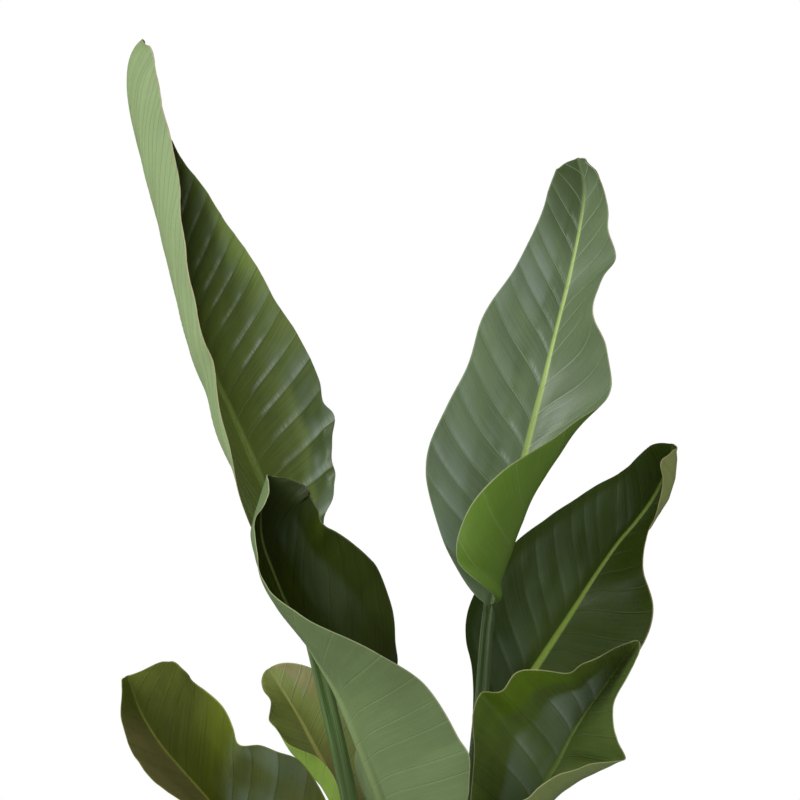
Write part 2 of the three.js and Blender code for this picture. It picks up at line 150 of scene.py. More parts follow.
# Fine waves of the blade, its crumpled stretch, the thin margin, and the stalk's groove. What
# fades or grows toward the margin does so between two shares of the way there.
RIPPLE_LENGTHS = (0.7, 1.6)
WAVE_HEIGHT = 1.5
WAVE_LENGTH = 55
WAVE_WIDTH = 160
WAVES_GROW = (0.45, 1)
CRUMPLE_FADE = 0.06
CRUMPLED_MARGIN_WAVE = 22
CRINKLE_LENGTH = 15
CRINKLE_WIDTH = 22
CRUMPLED_MARGIN_SEED = 8
CRINKLE_SEED = 9
CRINKLES_GROW = (0.6, 0.95)
MARGIN_THINS = (0.9, 1)
MARGIN_ROUNDING = 0.3
STALK_FLATTENED_TO = 0.25
GROOVE_DEPTH = 0.28
GROOVE_HALF_WIDTH = 0.6
STALK_FLATTENS = (0.5, 1)
GROOVE_DEEPENS = (0.35, 0.95)
FAR_FROM_MARGIN = 99.0

# Looks that the leaves share, heights of the finest relief in metres, and material slots
# Painted highlights: streaks and a film of sheen, lighter than the blade, mixed into the upper sides'
# colour.
PAINTED_HIGHLIGHT_STREAK_COLOUR = (0.40, 0.46, 0.38)
PAINTED_SHEEN_FILM_COLOUR = (0.20, 0.26, 0.20)
UNDER_COLOUR = (0.120, 0.165, 0.062)
STALK_FOOT_COLOUR = (0.10, 0.085, 0.03)
UPPER_ROUGHNESS = 0.34
UNDER_ROUGHNESS = 0.55
UNDER_GLOSS = 0.25
VEIN_RELIEF = 0.00025
FIBRE_RELIEF = 0.00014
COMB_RELIEF = 0.00012
STALK_RELIEF = 0.0003
POT_RELIEF = 0.00015
SOIL_RELIEF = 0.0015
READ_BY_MATERIALS = ["vein_phase", "from_rib", "rib_share", "from_margin", "along", "length", "half"]
STALK_SLOT = 0
UPPER_SLOT = 1
UNDER_SLOT = 2

LEFT = -1
RIGHT = 1
USUAL_SWEEP = [[0, 5], [0.1, 13], [0.2, 20], [0.4, 28], [0.7, 33], [1, 38]]
NO_TURN = [[0, 0], [1, 0]]


def area(half, along, share, **look):
    """An area of a leaf's upper side, by place along the blade and share of the way to the margin."""
    return {"half": half, "along": along, "share": share, **look}


# upper, flap, glow: colours of the upper side, of the folded or rolled stretch of the underside,
# which lies on one half between two places along the blade, and beside the midrib.
# vein, veins: the side veins' colour, and how strongly it shows.
# tip_reach: margins lean forward by no more than this share of the length left to the tip.
# vein_spacing, pleats: millimetres between side veins, and how strongly the blade swells there.
# vein_course: how far a vein leans forward at the base and the tip, and how far it bends, in
# vein, veins: the side veins' colour, partly their own paler colour and partly a painted highlight
# strongest beside the midrib, and how strongly it shows.
# crumple: a margin that is crumpled from the base up to a place along the blade.
# sheen, tints: areas painted with highlights, in streaks and a sheen film of light, and areas of another
# colour.
# margins: colours of the left and right margins.
# sweep: degrees that the veins lean toward the tip.
# turn: degrees that the upper side is turned about the midrib, from facing -Y toward +X.
# left, right: degrees between the half and the flat where it leaves the midrib, degrees that
# it curls on from there to its margin, and its width. Rows of these four start with u, the
# place along the blade from 0 at its base to 1 at its tip.
# The rows are the solids' own, but for the last ones of both upper leaves and the front one.
# They, and tip_reach there and on the lower left leaf, make four tips rounder than the solids'.
LEAVES = [dict(
    name="leaf_upper_left", slot="leaf_mid_green", seed=11,
    upper=(0.125, 0.172, 0.042), flap=(0.178, 0.24, 0.105), glow=(0.135, 0.185, 0.022),
    flap_place={"half": LEFT, "along": (0, 1)},
    vein=(0.23, 0.3, 0.14), veins=0.5, vein_spacing=21, pleats=1, gloss=0.4,
    vein_course={"left": (2.2, 2.2, 0.1), "right": (0, 0, 0.1)},
    crumple={"half": RIGHT, "up_to": 0.16, "height": 2.4, "width": 0.05},
    sheen=[
        area(RIGHT, (0.12, 0.62), (0.36, 0.62), streaks=0.8, film=0),
        area(RIGHT, (0.04, 0.2), (0.78, 1.2), streaks=0.6, film=0.45),
        area(RIGHT, (0.15, 0.8), (0.62, 0.92), streaks=0.1, film=0.28),
    ],
    tints=[
        area(RIGHT, (0.6, 1), (0, 1), colour=(0.045, 0.07, 0.014), amount=0.35),
        area(RIGHT, (0, 0.2), (0.75, 1), colour=(0.03, 0.05, 0.014), amount=0.7),
    ],
    margins=((0.42, 0.3, 0.2), None),
    stalk=(0.06, 0.11, 0.022), rib=(0.18, 0.26, 0.04), stalk_radius=(9, 6.5),
    blade=480, tip_reach=1,
    midrib=[
        [-26, 10, 160], [-30, 10, 260], [-71, 15, 466], [-96, 18, 577], [-116, 20, 653],
        [-147, 20, 742], [-175, 22, 807], [-191, 22, 842], [-212, 25, 902], [-233, 28, 966],
        [-250, 30, 1018], [-262, 30, 1066], [-264, 28, 1090], [-262, 27, 1107], [-257, 26, 1118],
        [-250, 25, 1125],
    ],
    sweep=USUAL_SWEEP, turn=NO_TURN,
    left=[
        [0, 55, 18, 45], [0.1, 65, 18, 67], [0.2, 47, 74, 82], [0.3, 58, 74, 90], [0.4, 62, 70, 91],
        [0.5, 65, 76, 86], [0.6, 70, 84, 80], [0.7, 79, 82, 71], [0.78, 87, 74, 62],
        [0.88, 97, 64, 49], [0.95, 98, 56, 38], [1, 90, 40, 24],
    ],
    right=[
        [0, 40, 10, 44], [0.05, 30, 12, 58], [0.1, 22, 14, 72], [0.2, 16, 12, 86],
        [0.3, 22, 12, 89], [0.4, 32, 14, 90], [0.5, 41, 12, 81], [0.6, 46, 12, 70],
        [0.7, 50, 8, 54], [0.88, 35, 30, 25], [1, 20, 20, 12],
    ],
), dict(
    name="leaf_front_twisted", slot="leaf_mid_green", seed=23,
    # Painted shade: the front leaf's upper and glow colours are darkened for the shade that its inner side
    # lies in.
    upper=(0.026, 0.039, 0.003), flap=(0.11, 0.16, 0.06), glow=(0.03, 0.05, 0.004),
    flap_place={"half": LEFT, "along": (0, 1)},
    vein=(0.045, 0.065, 0.014), veins=0.15, vein_spacing=18, pleats=0.25, gloss=0.15,
    vein_course={"left": (-0.25, 0, 0.1), "right": (0.3, 1.4, 0.2)},
    sheen=[
        area(RIGHT, (0.55, 0.75), (0.35, 0.6), streaks=0, film=0.12),
        area(LEFT, (0.1, 0.4), (0.1, 0.6), streaks=0, film=0.2),
    ],
    tints=[
        # Painted shade: darkens the tip of the inner side, which lies in shade.
        area(RIGHT, (0.82, 1), (0, 1), colour=(0.018, 0.026, 0.006), amount=0.8),
    ],
    margins=((0.34, 0.36, 0.2), (0.1, 0.12, 0.05)),
    stalk=(0.06, 0.11, 0.022), rib=(0.1, 0.15, 0.03), stalk_radius=(8.5, 6),
    blade=341, tip_reach=1.9,
    midrib=[
        [-6, -34, 160], [-6, -45, 260], [-26, -90, 428], [-45, -98, 487], [-66, -102, 542],
        [-81, -102, 576], [-98, -100, 604], [-112, -97, 627], [-123, -94, 647], [-134, -92, 673],
        [-143, -92, 698], [-145, -94, 716], [-143, -97, 735], [-138, -100, 754],
    ],
    sweep=[[0, 5], [0.2, 16], [0.4, 20], [0.55, 28], [0.72, 31], [0.85, 32], [1, 30]],
    turn=[[0, 134], [0.16, 126], [0.3, 104], [0.4, 74], [0.5, 48], [0.7, 28], [1, 28]],
    left=[
        [0, 18, 16, 60], [0.08, 18, 16, 78], [0.135, 19, 16, 89], [0.175, 22, 16, 86],
        [0.22, 25, 16, 86], [0.3, 32, 16, 85], [0.4, 41, 16, 81], [0.5, 42, 20, 77],
        [0.59, 40, 28, 71], [0.74, 37, 55, 62], [0.84, 38, 66, 49], [0.92, 45, 58, 40],
        [1, 48, 40, 16],
    ],
    right=[
        [0, 20, 20, 50], [0.16, 20, 16, 83], [0.3, 32, 16, 76], [0.4, 50, 12, 62],
        [0.45, 47, 12, 74], [0.5, 42, 12, 81], [0.545, 43, 12, 80], [0.595, 45, 12, 76],
        [0.695, 54, 12, 66], [0.79, 44, 10, 56], [0.88, 40, 10, 47], [0.94, 36, 10, 43],
        [1, 34, 10, 40],
    ],
), dict(
    name="leaf_upper_right", slot="leaf_grey_green", seed=37,
    upper=(0.115, 0.165, 0.075), flap=(0.085, 0.16, 0.012), glow=(0.15, 0.215, 0.11),
    flap_place={"half": RIGHT, "along": (0, 0.3)},
    vein=(0.25, 0.33, 0.19), veins=0.8, vein_spacing=25, pleats=0.7, gloss=0.4,
    vein_course={"left": (0.15, 0.4, 0.35), "right": (0.15, 0.4, 0.35)},
    sheen=[
        area(LEFT, (0.1, 0.8), (0.45, 1), streaks=0.15, film=0.35),
        area(LEFT, (0.1, 0.22), (0.6, 0.95), streaks=0.2, film=0.5),
        area(LEFT, (0.22, 0.8), (0, 0.22), streaks=0.7, film=0.3),
        area(LEFT, (0.62, 0.7), (0.4, 0.95), streaks=0, film=0.7),
    ],
    tints=[
        area(LEFT, (0.84, 1), (0.15, 1), colour=(0.06, 0.09, 0.026), amount=0.8),
        area(RIGHT, (0.25, 1), (0.1, 1), colour=(0.08, 0.11, 0.055), amount=0.6),
    ],
    margins=((0.2, 0.25, 0.14), (0.34, 0.34, 0.2)),
    stalk=(0.045, 0.08, 0.015), rib=(0.32, 0.43, 0.11), stalk_radius=(8, 5.5),
    blade=393, tip_reach=1.15,
    midrib=[
        [20, 22, 160], [22, 22, 260], [32, 5, 475], [40, 10, 564], [47, 12, 640], [62, 15, 705],
        [77, 18, 769], [98, 22, 850], [113, 26, 910], [125, 26, 966], [128, 20, 1000],
        [122, 12, 1022],
    ],
    sweep=USUAL_SWEEP, turn=NO_TURN,
    left=[
        [0, 10, 10, 24], [0.05, 10, 10, 40], [0.1, 10, 10, 60], [0.15, 9, 10, 76], [0.2, 8, 10, 83],
        [0.3, 8, 8, 77], [0.4, 8, 8, 68], [0.5, 8, 8, 66], [0.65, 8, 8, 48], [0.8, 8, 8, 36],
        [0.9, 8, 8, 31], [1, 8, 8, 28],
    ],
    right=[
        [0, 60, 140, 74], [0.1, 50, 164, 87], [0.2, 42, 126, 86], [0.25, 32, 112, 84],
        [0.3, 22, 97, 82], [0.42, 20, 40, 72], [0.5, 34, 35, 66], [0.56, 51, 27, 59],
        [0.61, 54, 24, 57], [0.66, 50, 22, 53], [0.71, 37, 20, 48], [0.78, 47, 19, 39],
        [0.83, 46, 22, 35], [0.88, 36, 55, 34], [0.93, 24, 100, 38], [1, 22, 105, 28],
    ],
), dict(
    name="leaf_mid_right", slot="leaf_dark_green", seed=41,
    upper=(0.034, 0.057, 0.005), flap=(0.165, 0.195, 0.058), glow=(0.045, 0.072, 0.006),
    flap_place={"half": RIGHT, "along": (0.6, 1)},
    vein=(0.085, 0.115, 0.045), veins=0.3, vein_spacing=19, pleats=0.5, gloss=0.22,
    vein_course={"left": (0.15, 0.4, 0.3), "right": (-0.2, -0.1, 0.2)},
    sheen=[
        area(LEFT, (0.2, 0.7), (0.2, 0.8), streaks=0.05, film=0.16),
    ],
    tints=[
        area(LEFT, (0, 0.2), (0, 1), colour=(0.012, 0.026, 0.001), amount=0.7),
        area(RIGHT, (0, 1), (0.1, 1), colour=(0.024, 0.042, 0.002), amount=0.5),
    ],
    margins=(None, (0.4, 0.33, 0.18)),
    stalk=(0.04, 0.07, 0.015), rib=(0.2, 0.29, 0.04), stalk_radius=(7.5, 5.5),
    blade=320, tip_reach=0.9,
    midrib=[
        [38, 8, 160], [42, 15, 260], [29, 70, 451], [46, 92, 514], [69, 100, 550], [91, 105, 583],
        [125, 110, 634], [144, 113, 663], [163, 114, 690], [178, 113, 708], [191, 110, 726],
        [200, 106, 743], [206, 102, 760], [210, 98, 777],
    ],
    sweep=USUAL_SWEEP, turn=NO_TURN,
    left=[
        [0, 10, 10, 20], [0.06, 10, 10, 26], [0.12, 10, 10, 48], [0.18, 10, 10, 76],
        [0.25, 10, 10, 86], [0.35, 12, 10, 83], [0.42, 15, 10, 79], [0.5, 18, 10, 70],
        [0.65, 18, 8, 53], [0.8, 10, 8, 36], [0.9, 8, 8, 28], [1, 8, 8, 26],
    ],
    right=[
        [0, 10, 20, 35], [0.1, 10, 20, 46], [0.2, 12, 18, 58], [0.28, 14, 18, 69],
        [0.38, 19, 20, 73], [0.46, 28, 22, 68], [0.53, 41, 30, 57], [0.6, 44, 42, 48],
        [0.7, 42, 70, 43], [0.76, 38, 100, 46], [0.81, 34, 126, 50], [0.87, 34, 146, 50],
        [0.94, 38, 120, 38], [1, 40, 90, 24],
    ],
), dict(
    name="leaf_lower_right", slot="leaf_dark_green", seed=53,
    upper=(0.072, 0.108, 0.02), flap=(0.14, 0.18, 0.052), glow=(0.12, 0.18, 0.008),
    flap_place={"half": RIGHT, "along": (0, 1)},
    vein=(0.11, 0.145, 0.06), veins=0.35, vein_spacing=20, pleats=0.35, gloss=0.3,
    vein_course={"left": (0, 0, 0), "right": (0, 0, 0)},
    sheen=[
        area(LEFT, (0.36, 0.78), (0.1, 0.4), streaks=0.3, film=0.5),
        area(LEFT, (0.66, 0.76), (0.2, 0.4), streaks=0.1, film=0.25),
    ],
    tints=[
        area(LEFT, (0.56, 0.74), (0.74, 1), colour=(0.085, 0.15, 0.004), amount=0.75),
        area(RIGHT, (0.3, 1), (0, 1), colour=(0.04, 0.06, 0.014), amount=0.5),
    ],
    margins=((0.36, 0.33, 0.17), (0.34, 0.33, 0.18)),
    stalk=(0.05, 0.09, 0.018), rib=(0.13, 0.19, 0.04), stalk_radius=(7.5, 5.5),
    blade=300, tip_reach=0.6,
    midrib=[
        [24, -28, 160], [32, -40, 260], [29, -46, 371], [41, -50, 400], [70, -62, 461],
        [97, -78, 510], [121, -90, 554], [142, -99, 585], [154, -102, 603], [166, -105, 618],
    ],
    sweep=[[0, 5], [0.25, 18], [0.5, 26], [0.7, 28], [1, 30]],
    turn=NO_TURN,
    left=[
        [0, 50, 10, 36], [0.15, 50, 10, 56], [0.26, 48, 10, 66], [0.34, 38, 10, 71],
        [0.44, 20, 14, 76], [0.49, 12, 12, 87], [0.54, 8, 8, 87], [0.6, 16, 18, 79],
        [0.67, 16, 22, 76], [0.72, 28, 26, 73], [0.77, 42, 24, 58], [0.82, 40, 22, 46],
        [0.9, 48, 20, 32], [1, 42, 20, 14],
    ],
    right=[
        [0, 65, 100, 45], [0.1, 62, 104, 60], [0.25, 58, 112, 78], [0.36, 57, 106, 86],
        [0.42, 60, 80, 88], [0.465, 58, 79, 88], [0.495, 54, 82, 88], [0.52, 46, 91, 88],
        [0.55, 40, 88, 89], [0.57, 31, 95, 91], [0.6, 34, 70, 95], [0.625, 52, 26, 95],
        [0.67, 62, 20, 87], [0.7, 67, 18, 80], [0.755, 73, 16, 69], [0.8, 76, 14, 59],
        [0.85, 76, 14, 49], [0.9, 75, 13, 38], [0.945, 70, 12, 27], [1, 48, 12, 11],
    ],
), dict(
    name="leaf_lower_left", slot="leaf_olive", seed=67,
    upper=(0.076, 0.096, 0.01), flap=(0.13, 0.17, 0.05), glow=(0.095, 0.118, 0.008),
    flap_place={"half": LEFT, "along": (0, 1)},
    vein=(0.105, 0.135, 0.03), veins=0.2, vein_spacing=20, pleats=0.4, gloss=0.25,
    vein_course={"left": (0.1, 0.3, 0.2), "right": (0.1, 0.3, 0.2)},
    sheen=[
        area(RIGHT, (0.36, 0.43), (0.2, 0.95), streaks=0.2, film=0.5),
    ],
    tints=[
        area(LEFT, (0.35, 0.8), (0.05, 1), colour=(0.17, 0.145, 0.06), amount=0.8),
        area(LEFT, (0.85, 1), (0, 1), colour=(0.05, 0.058, 0.01), amount=0.4),
    ],
    margins=((0.22, 0.26, 0.05), (0.22, 0.26, 0.05)),
    stalk=(0.05, 0.09, 0.018), rib=(0.21, 0.23, 0.035), stalk_radius=(7.5, 5.5),
    blade=289, tip_reach=1.8,
    midrib=[
        [-44, -12, 160], [-52, -14, 260], [-72, -20, 322], [-99, -22, 360], [-143, -28, 420],
        [-192, -42, 482], [-214, -50, 508], [-229, -57, 527], [-241, -65, 547], [-248, -70, 562],
        [-252, -73, 574], [-256, -76, 587],
    ],
    sweep=[[0, 5], [0.24, 20], [0.385, 30], [0.53, 35], [0.75, 36], [0.85, 36], [1, 31]],
    turn=NO_TURN,
    left=[
        [0, 75, 10, 45], [0.25, 78, 10, 76], [0.46, 80, 10, 75], [0.597, 72, 10, 66],
        [0.669, 70, 10, 62], [0.74, 69, 10, 54], [0.846, 70, 10, 40], [0.93, 68, 10, 26],
        [1, 60, 10, 20],
    ],
    right=[
        [0, 10, 10, 40], [0.123, 8, 8, 60], [0.25, 5, 5, 78], [0.328, 6, 5, 82], [0.39, 22, 8, 83],
        [0.44, 29, 8, 80], [0.49, 37, 8, 73], [0.53, 29, 8, 71], [0.59, 18, 8, 68],
        [0.675, 10, 5, 61], [0.78, 5, 5, 54], [0.87, 5, 5, 47], [0.94, 5, 5, 46], [1, 5, 5, 50],
    ],
), dict(
    name="leaf_back_small", slot="leaf_olive", seed=79,
    upper=(0.15, 0.18, 0.04), flap=(0.17, 0.27, 0.03), glow=(0.19, 0.21, 0.06),
    flap_place={"half": LEFT, "along": (0, 0.8)},
    vein=(0.19, 0.21, 0.08), veins=0.4, vein_spacing=16, pleats=0.6, gloss=0.35,
    vein_course={"left": (0.1, 0.3, 0.3), "right": (0.1, 0.3, 0.3)},
    sheen=[
        area(RIGHT, (0.5, 0.9), (0.4, 0.9), streaks=0.1, film=0.2),
    ],
    tints=[
        area(RIGHT, (0.84, 0.96), (0.55, 0.9), colour=(0.24, 0.15, 0.08), amount=0.4),
        area(RIGHT, (0.3, 0.55), (0, 0.25), colour=(0.24, 0.17, 0.07), amount=0.4),
    ],
    margins=((0.22, 0.25, 0.08), (0.26, 0.27, 0.1)),
    stalk=(0.06, 0.11, 0.022), rib=(0.33, 0.33, 0.08), stalk_radius=(6, 4.5),
    blade=230, tip_reach=0.6,
    midrib=[
        [-16, 38, 160], [-20, 45, 260], [-37, 75, 377], [-63, 82, 430], [-87, 88, 480],
        [-107, 90, 517], [-118, 92, 537], [-130, 95, 556], [-145, 102, 580],
    ],
    sweep=[[0, 5], [0.3, 12], [0.7, 16], [1, 20]],
    turn=NO_TURN,
    left=[
        [0, 50, 90, 30], [0.2, 50, 86, 52], [0.4, 50, 90, 59], [0.475, 44, 101, 58],
        [0.556, 27, 124, 57], [0.655, 22, 92, 48], [0.73, 35, 50, 41], [0.773, 45, 20, 38],
        [0.845, 58, 18, 30], [0.917, 35, 10, 19], [0.96, 15, 10, 16], [1, 10, 10, 14],
    ],
    right=[
        [0, 10, 10, 30], [0.2, 10, 10, 52], [0.4, 10, 10, 58], [0.7, 10, 10, 47],
        [0.85, 10, 10, 35], [0.92, 10, 10, 28], [1, 10, 10, 21],
    ],
)]


def smoothstep(x, low, high):
    t = np.clip((x - low) / (high - low), 0, 1)
    return t * t * (3 - 2 * t)


def lerp(a, b, share):
    return a + (b - a) * share


def unit(vectors):
    length = np.linalg.norm(vectors, axis=-1, keepdims=True)
    return vectors / np.maximum(length, 1e-12)


def between(start, start_slope, end, end_slope, t):
    """Values from start to end at t from 0 to 1, with the given slopes at both ends."""
    return (
        start * (2 * t ** 3 - 3 * t ** 2 + 1) + start_slope * (t ** 3 - 2 * t ** 2 + t)
        + end * (3 * t ** 2 - 2 * t ** 3) + end_slope * (t ** 3 - t ** 2)
    )


def smooth_curve(points):
    """Closely spaced points of a centripetal curve through the points, and their lengths along it."""
    p = np.array(points, float)
    p = np.vstack([2 * p[0] - p[1], p, 2 * p[-1] - p[-2]])
    t = np.linspace(0, 1, CURVE_STEPS, endpoint=False)[:, None]
    pieces = []
    for i in range(1, len(p) - 2):
        p0, p1, p2, p3 = p[i - 1:i + 3]
        d0 = np.linalg.norm(p1 - p0) ** 0.5
        d1 = np.linalg.norm(p2 - p1) ** 0.5
        d2 = np.linalg.norm(p3 - p2) ** 0.5
        slope1 = ((p1 - p0) / d0 - (p2 - p0) / (d0 + d1) + (p2 - p1) / d1) * d1
        slope2 = ((p2 - p1) / d1 - (p3 - p1) / (d1 + d2) + (p3 - p2) / d2) * d1
        pieces.append(between(p1, slope1, p2, slope2, t))
    dense = np.vstack(pieces + [p[-2][None]])
    steps = np.linalg.norm(np.diff(dense, axis=0), axis=1)
    return dense, np.concatenate([[0], np.cumsum(steps)])


def values_at(rows, u):
    """Smooth values between the rows [u, a, b, ...], one row of them for each u."""
    rows = np.array(rows, float)
    x = rows[:, 0]
    y = rows[:, 1:]
    u = np.clip(u, x[0], x[-1])
    slopes = np.diff(y, axis=0) / np.diff(x)[:, None]
    tangents = np.vstack([slopes[:1], (slopes[:-1] + slopes[1:]) / 2, slopes[-1:]])
    i = np.clip(np.searchsorted(x, u, side="right") - 1, 0, len(x) - 2)
    span = (x[i + 1] - x[i])[:, None]
    t = (u - x[i])[:, None] / span
    return between(y[i], span * tangents[i], y[i + 1], span * tangents[i + 1], t)


def frames_at(dense, lengths, at, turn):
    """Place, direction, way out of the upper side and way to the right at lengths along a curve."""
    def point(s):
        s = np.clip(s, 0, lengths[-1])
        return np.stack([np.interp(s, lengths, dense[:, k]) for k in range(3)], 1)

    along = unit(point(at + DIRECTION_STEP) - point(at - DIRECTION_STEP))
    front = np.array([0.0, -1.0, 0.0])
    out = unit(front - along * (along @ front)[:, None])
    across = np.cross(along, out)
    out = out * np.cos(turn)[:, None] + across * np.sin(turn)[:, None]
    return point(at), along, out, np.cross(along, out)


def ripple(x, y, seed, waves=6):
    """Uneven waves of about one unit's length and height, from sines in seeded directions."""
    rng = np.random.default_rng(seed)
    total = 0
    for _ in range(waves):
        angle = rng.uniform(0, 2 * math.pi)
        length = rng.uniform(*RIPPLE_LENGTHS)
        phase = rng.uniform(0, 2 * math.pi)
        total = total + np.sin(2 * math.pi * (x * math.cos(angle) + y * math.sin(angle)) / length + phase)
    return total / math.sqrt(waves / 2) / 2


def blade_places():
    """Rows along the blade, closer where its ends are rounded."""
    base = BASE_ROUNDING * (1 - np.cos(np.linspace(0, math.pi / 2, BASE_ROWS, endpoint=False)))
    middle = np.linspace(BASE_ROUNDING, 1 - TIP_ROUNDING, MIDDLE_ROWS, endpoint=False)
    tip = 1 - TIP_ROUNDING * (1 - np.cos(np.linspace(math.pi / 2, 0, TIP_ROWS + 1)))
    return np.concatenate([base, middle, tip])


def vein_phase(s, u, x, width, course, spacing, rng):
    """Counts the side veins along a half: whole numbers lie on the veins."""
    start = VEIN_START * (1 - np.exp(-x / VEIN_START_LENGTH))
    lean = lerp(course[0], course[1], u) * x
    bend = course[2] * width * np.clip(x / width - VEIN_BEND_START, 0, 1) ** 2
    place = s - start - lean - bend
    spacings = spacing * rng.uniform(*VEIN_UNEVENNESS, MOST_VEINS)
    knots = FIRST_VEIN + np.cumsum(spacings)
    return np.interp(place, knots, np.arange(MOST_VEINS) + 1.0)


def pleats(phase, rng):
    """Height of the blade between its side veins: cushions, each tilted a little."""
    number = np.floor(phase).astype(int)
    t = phase - number
    cushion = rng.uniform(*CUSHION_HEIGHTS, MOST_VEINS + 2)[number]
    heights = rng.uniform(*CUSHION_TILTS, MOST_VEINS + 2)
    return cushion * 4 * t * (1 - t) + lerp(heights[number], heights[number + 1], t)


def blade_rows(leaf, dense, lengths):
    """What holds for whole rows of a blade: their places, directions, rounding and limits."""
    u = blade_places()
    s = leaf["blade"] * u
    from_foot = lengths[-1] - leaf["blade"] + s
    turn = np.radians(values_at(leaf["turn"], u)[:, 0])
    place, along, out, right = frames_at(dense, lengths, from_foot, turn)
    ends = np.sqrt(1 - np.clip(1 - u / BASE_ROUNDING, 0, 1) ** 2)
    ends = ends * np.sqrt(1 - np.clip(1 - (1 - u) / TIP_ROUNDING, 0, 1) ** 2)
    end_radius = leaf["stalk_radius"][1]
    from_base = smoothstep(u, 0, OPENED_NEAR_BASE)
    from_tip = smoothstep(1 - u, 0, OPENED_NEAR_TIP)
    return SimpleNamespace(
        u=u, s=s, from_foot=from_foot, place=place, along=along, out=out, right=right, ends=ends,
        sweep=np.radians(values_at(leaf["sweep"], u)[:, 0]),
        room=leaf["tip_reach"] * leaf["blade"] * (1 - u) + LEAST_ROOM,
        least_width=lerp(end_radius, TIP_HALF_WIDTH, u),
        rib_half=lerp(end_radius, MIDRIB_TIP_HALF_WIDTH, np.sqrt(u)),
        keel=lerp(end_radius, MIDRIB_TIP_HALF_WIDTH, u ** 0.7),
        fold_share=lerp(FOLD_SHARE_AT_BASE, 1, from_base) * lerp(FOLD_SHARE_AT_TIP, 1, from_tip),
        curl_share=lerp(CURL_SHARE_AT_ENDS, 1, np.minimum(from_base, from_tip)),
    )


def half_relief(leaf, sign, rows, phase, x, v, crumpling, rng):
    """Height of a half's swellings, waves and crinkles over its smooth form."""
    s = rows.s[:, None]
    ends = rows.ends[:, None]
    rib_half = rows.rib_half[:, None]
    relief = pleats(phase, rng) * smoothstep(x, rib_half, rib_half + CUSHION_RISE)
    fade = 1 - CUSHION_LOSS_AT_MARGIN * smoothstep(v, *CUSHIONS_FADE)
    relief = relief * fade * leaf["pleats"] * ends
    wave = ripple(s / WAVE_LENGTH, x / WAVE_WIDTH, leaf["seed"] + sign) * WAVE_HEIGHT
    relief = relief + wave * smoothstep(v, *WAVES_GROW) * ends
    if crumpling is not None:
        crinkles = ripple(s / CRINKLE_LENGTH, x / CRINKLE_WIDTH, leaf["seed"] + CRINKLE_SEED)
        height = leaf["crumple"]["height"] * crumpling[:, None]
        relief = relief + crinkles * height * smoothstep(v, *CRINKLES_GROW)
    return relief


def half_blade(leaf, sign, rows, rng):
    """One half's points from the midrib to its margin, the values that go with them, and its fold."""
    key = "left" if sign == LEFT else "right"
    values = values_at(leaf[key], rows.u)
    fold = np.radians(values[:, 0]) * rows.fold_share
    curl = np.radians(values[:, 1]) * rows.curl_share
    width = np.hypot(values[:, 2] * rows.ends, rows.least_width)
    crumple = leaf.get("crumple")
    crumpling = None
    if crumple and crumple["half"] == sign:
        crumpling = 1 - smoothstep(rows.u, crumple["up_to"], crumple["up_to"] + CRUMPLE_FADE)
        uneven = ripple(rows.s / CRUMPLED_MARGIN_WAVE, 0, leaf["seed"] + CRUMPLED_MARGIN_SEED)
        width = width * (1 + crumple["width"] * crumpling * uneven)

    rib_share = np.minimum(WIDEST_MIDRIB_SHARE, rows.rib_half / width)[:, None]
    outer = np.concatenate([COLUMNS_BESIDE_RIB, np.linspace(FIRST_EVEN_COLUMN, 1, BLADE_COLUMNS - 2)])
    v = np.hstack([rib_share * np.array(RIB_COLUMNS), lerp(rib_share, 1, outer)])
    fold_column = fold[:, None]
    curl_column = curl[:, None]
    w = width[:, None]
    end = fold_column + curl_column * v
    sideways = w * (np.sin(end) - np.sin(fold_column)) / curl_column
    outward = w * (np.cos(fold_column) - np.cos(end)) / curl_column
    free = width * np.tan(rows.sweep)
    reach = free * rows.room / np.cbrt(free ** 3 + rows.room ** 3)
    reach = reach[:, None] * v ** 0.9
    out = rows.out[:, None]
    right = rows.right[:, None]
    point = (
        rows.place[:, None] + right * (sign * sideways)[..., None]
        + out * outward[..., None] + rows.along[:, None] * reach[..., None]
    )
    x = w * v
    spacing = leaf["vein_spacing"]
    phase = vein_phase(rows.s[:, None], rows.u[:, None], x, w, leaf["vein_course"][key], spacing, rng)
    return {
        "point": point,
        "x": x,
        "width": np.broadcast_to(w, x.shape),
        "phase": phase,
        "relief": half_relief(leaf, sign, rows, phase, x, v, crumpling, rng),
        "half": np.full(x.shape, float(sign)),
        "facing": out * np.cos(end)[..., None] - right * (sign * np.sin(end))[..., None],
        "fold": fold,
    }


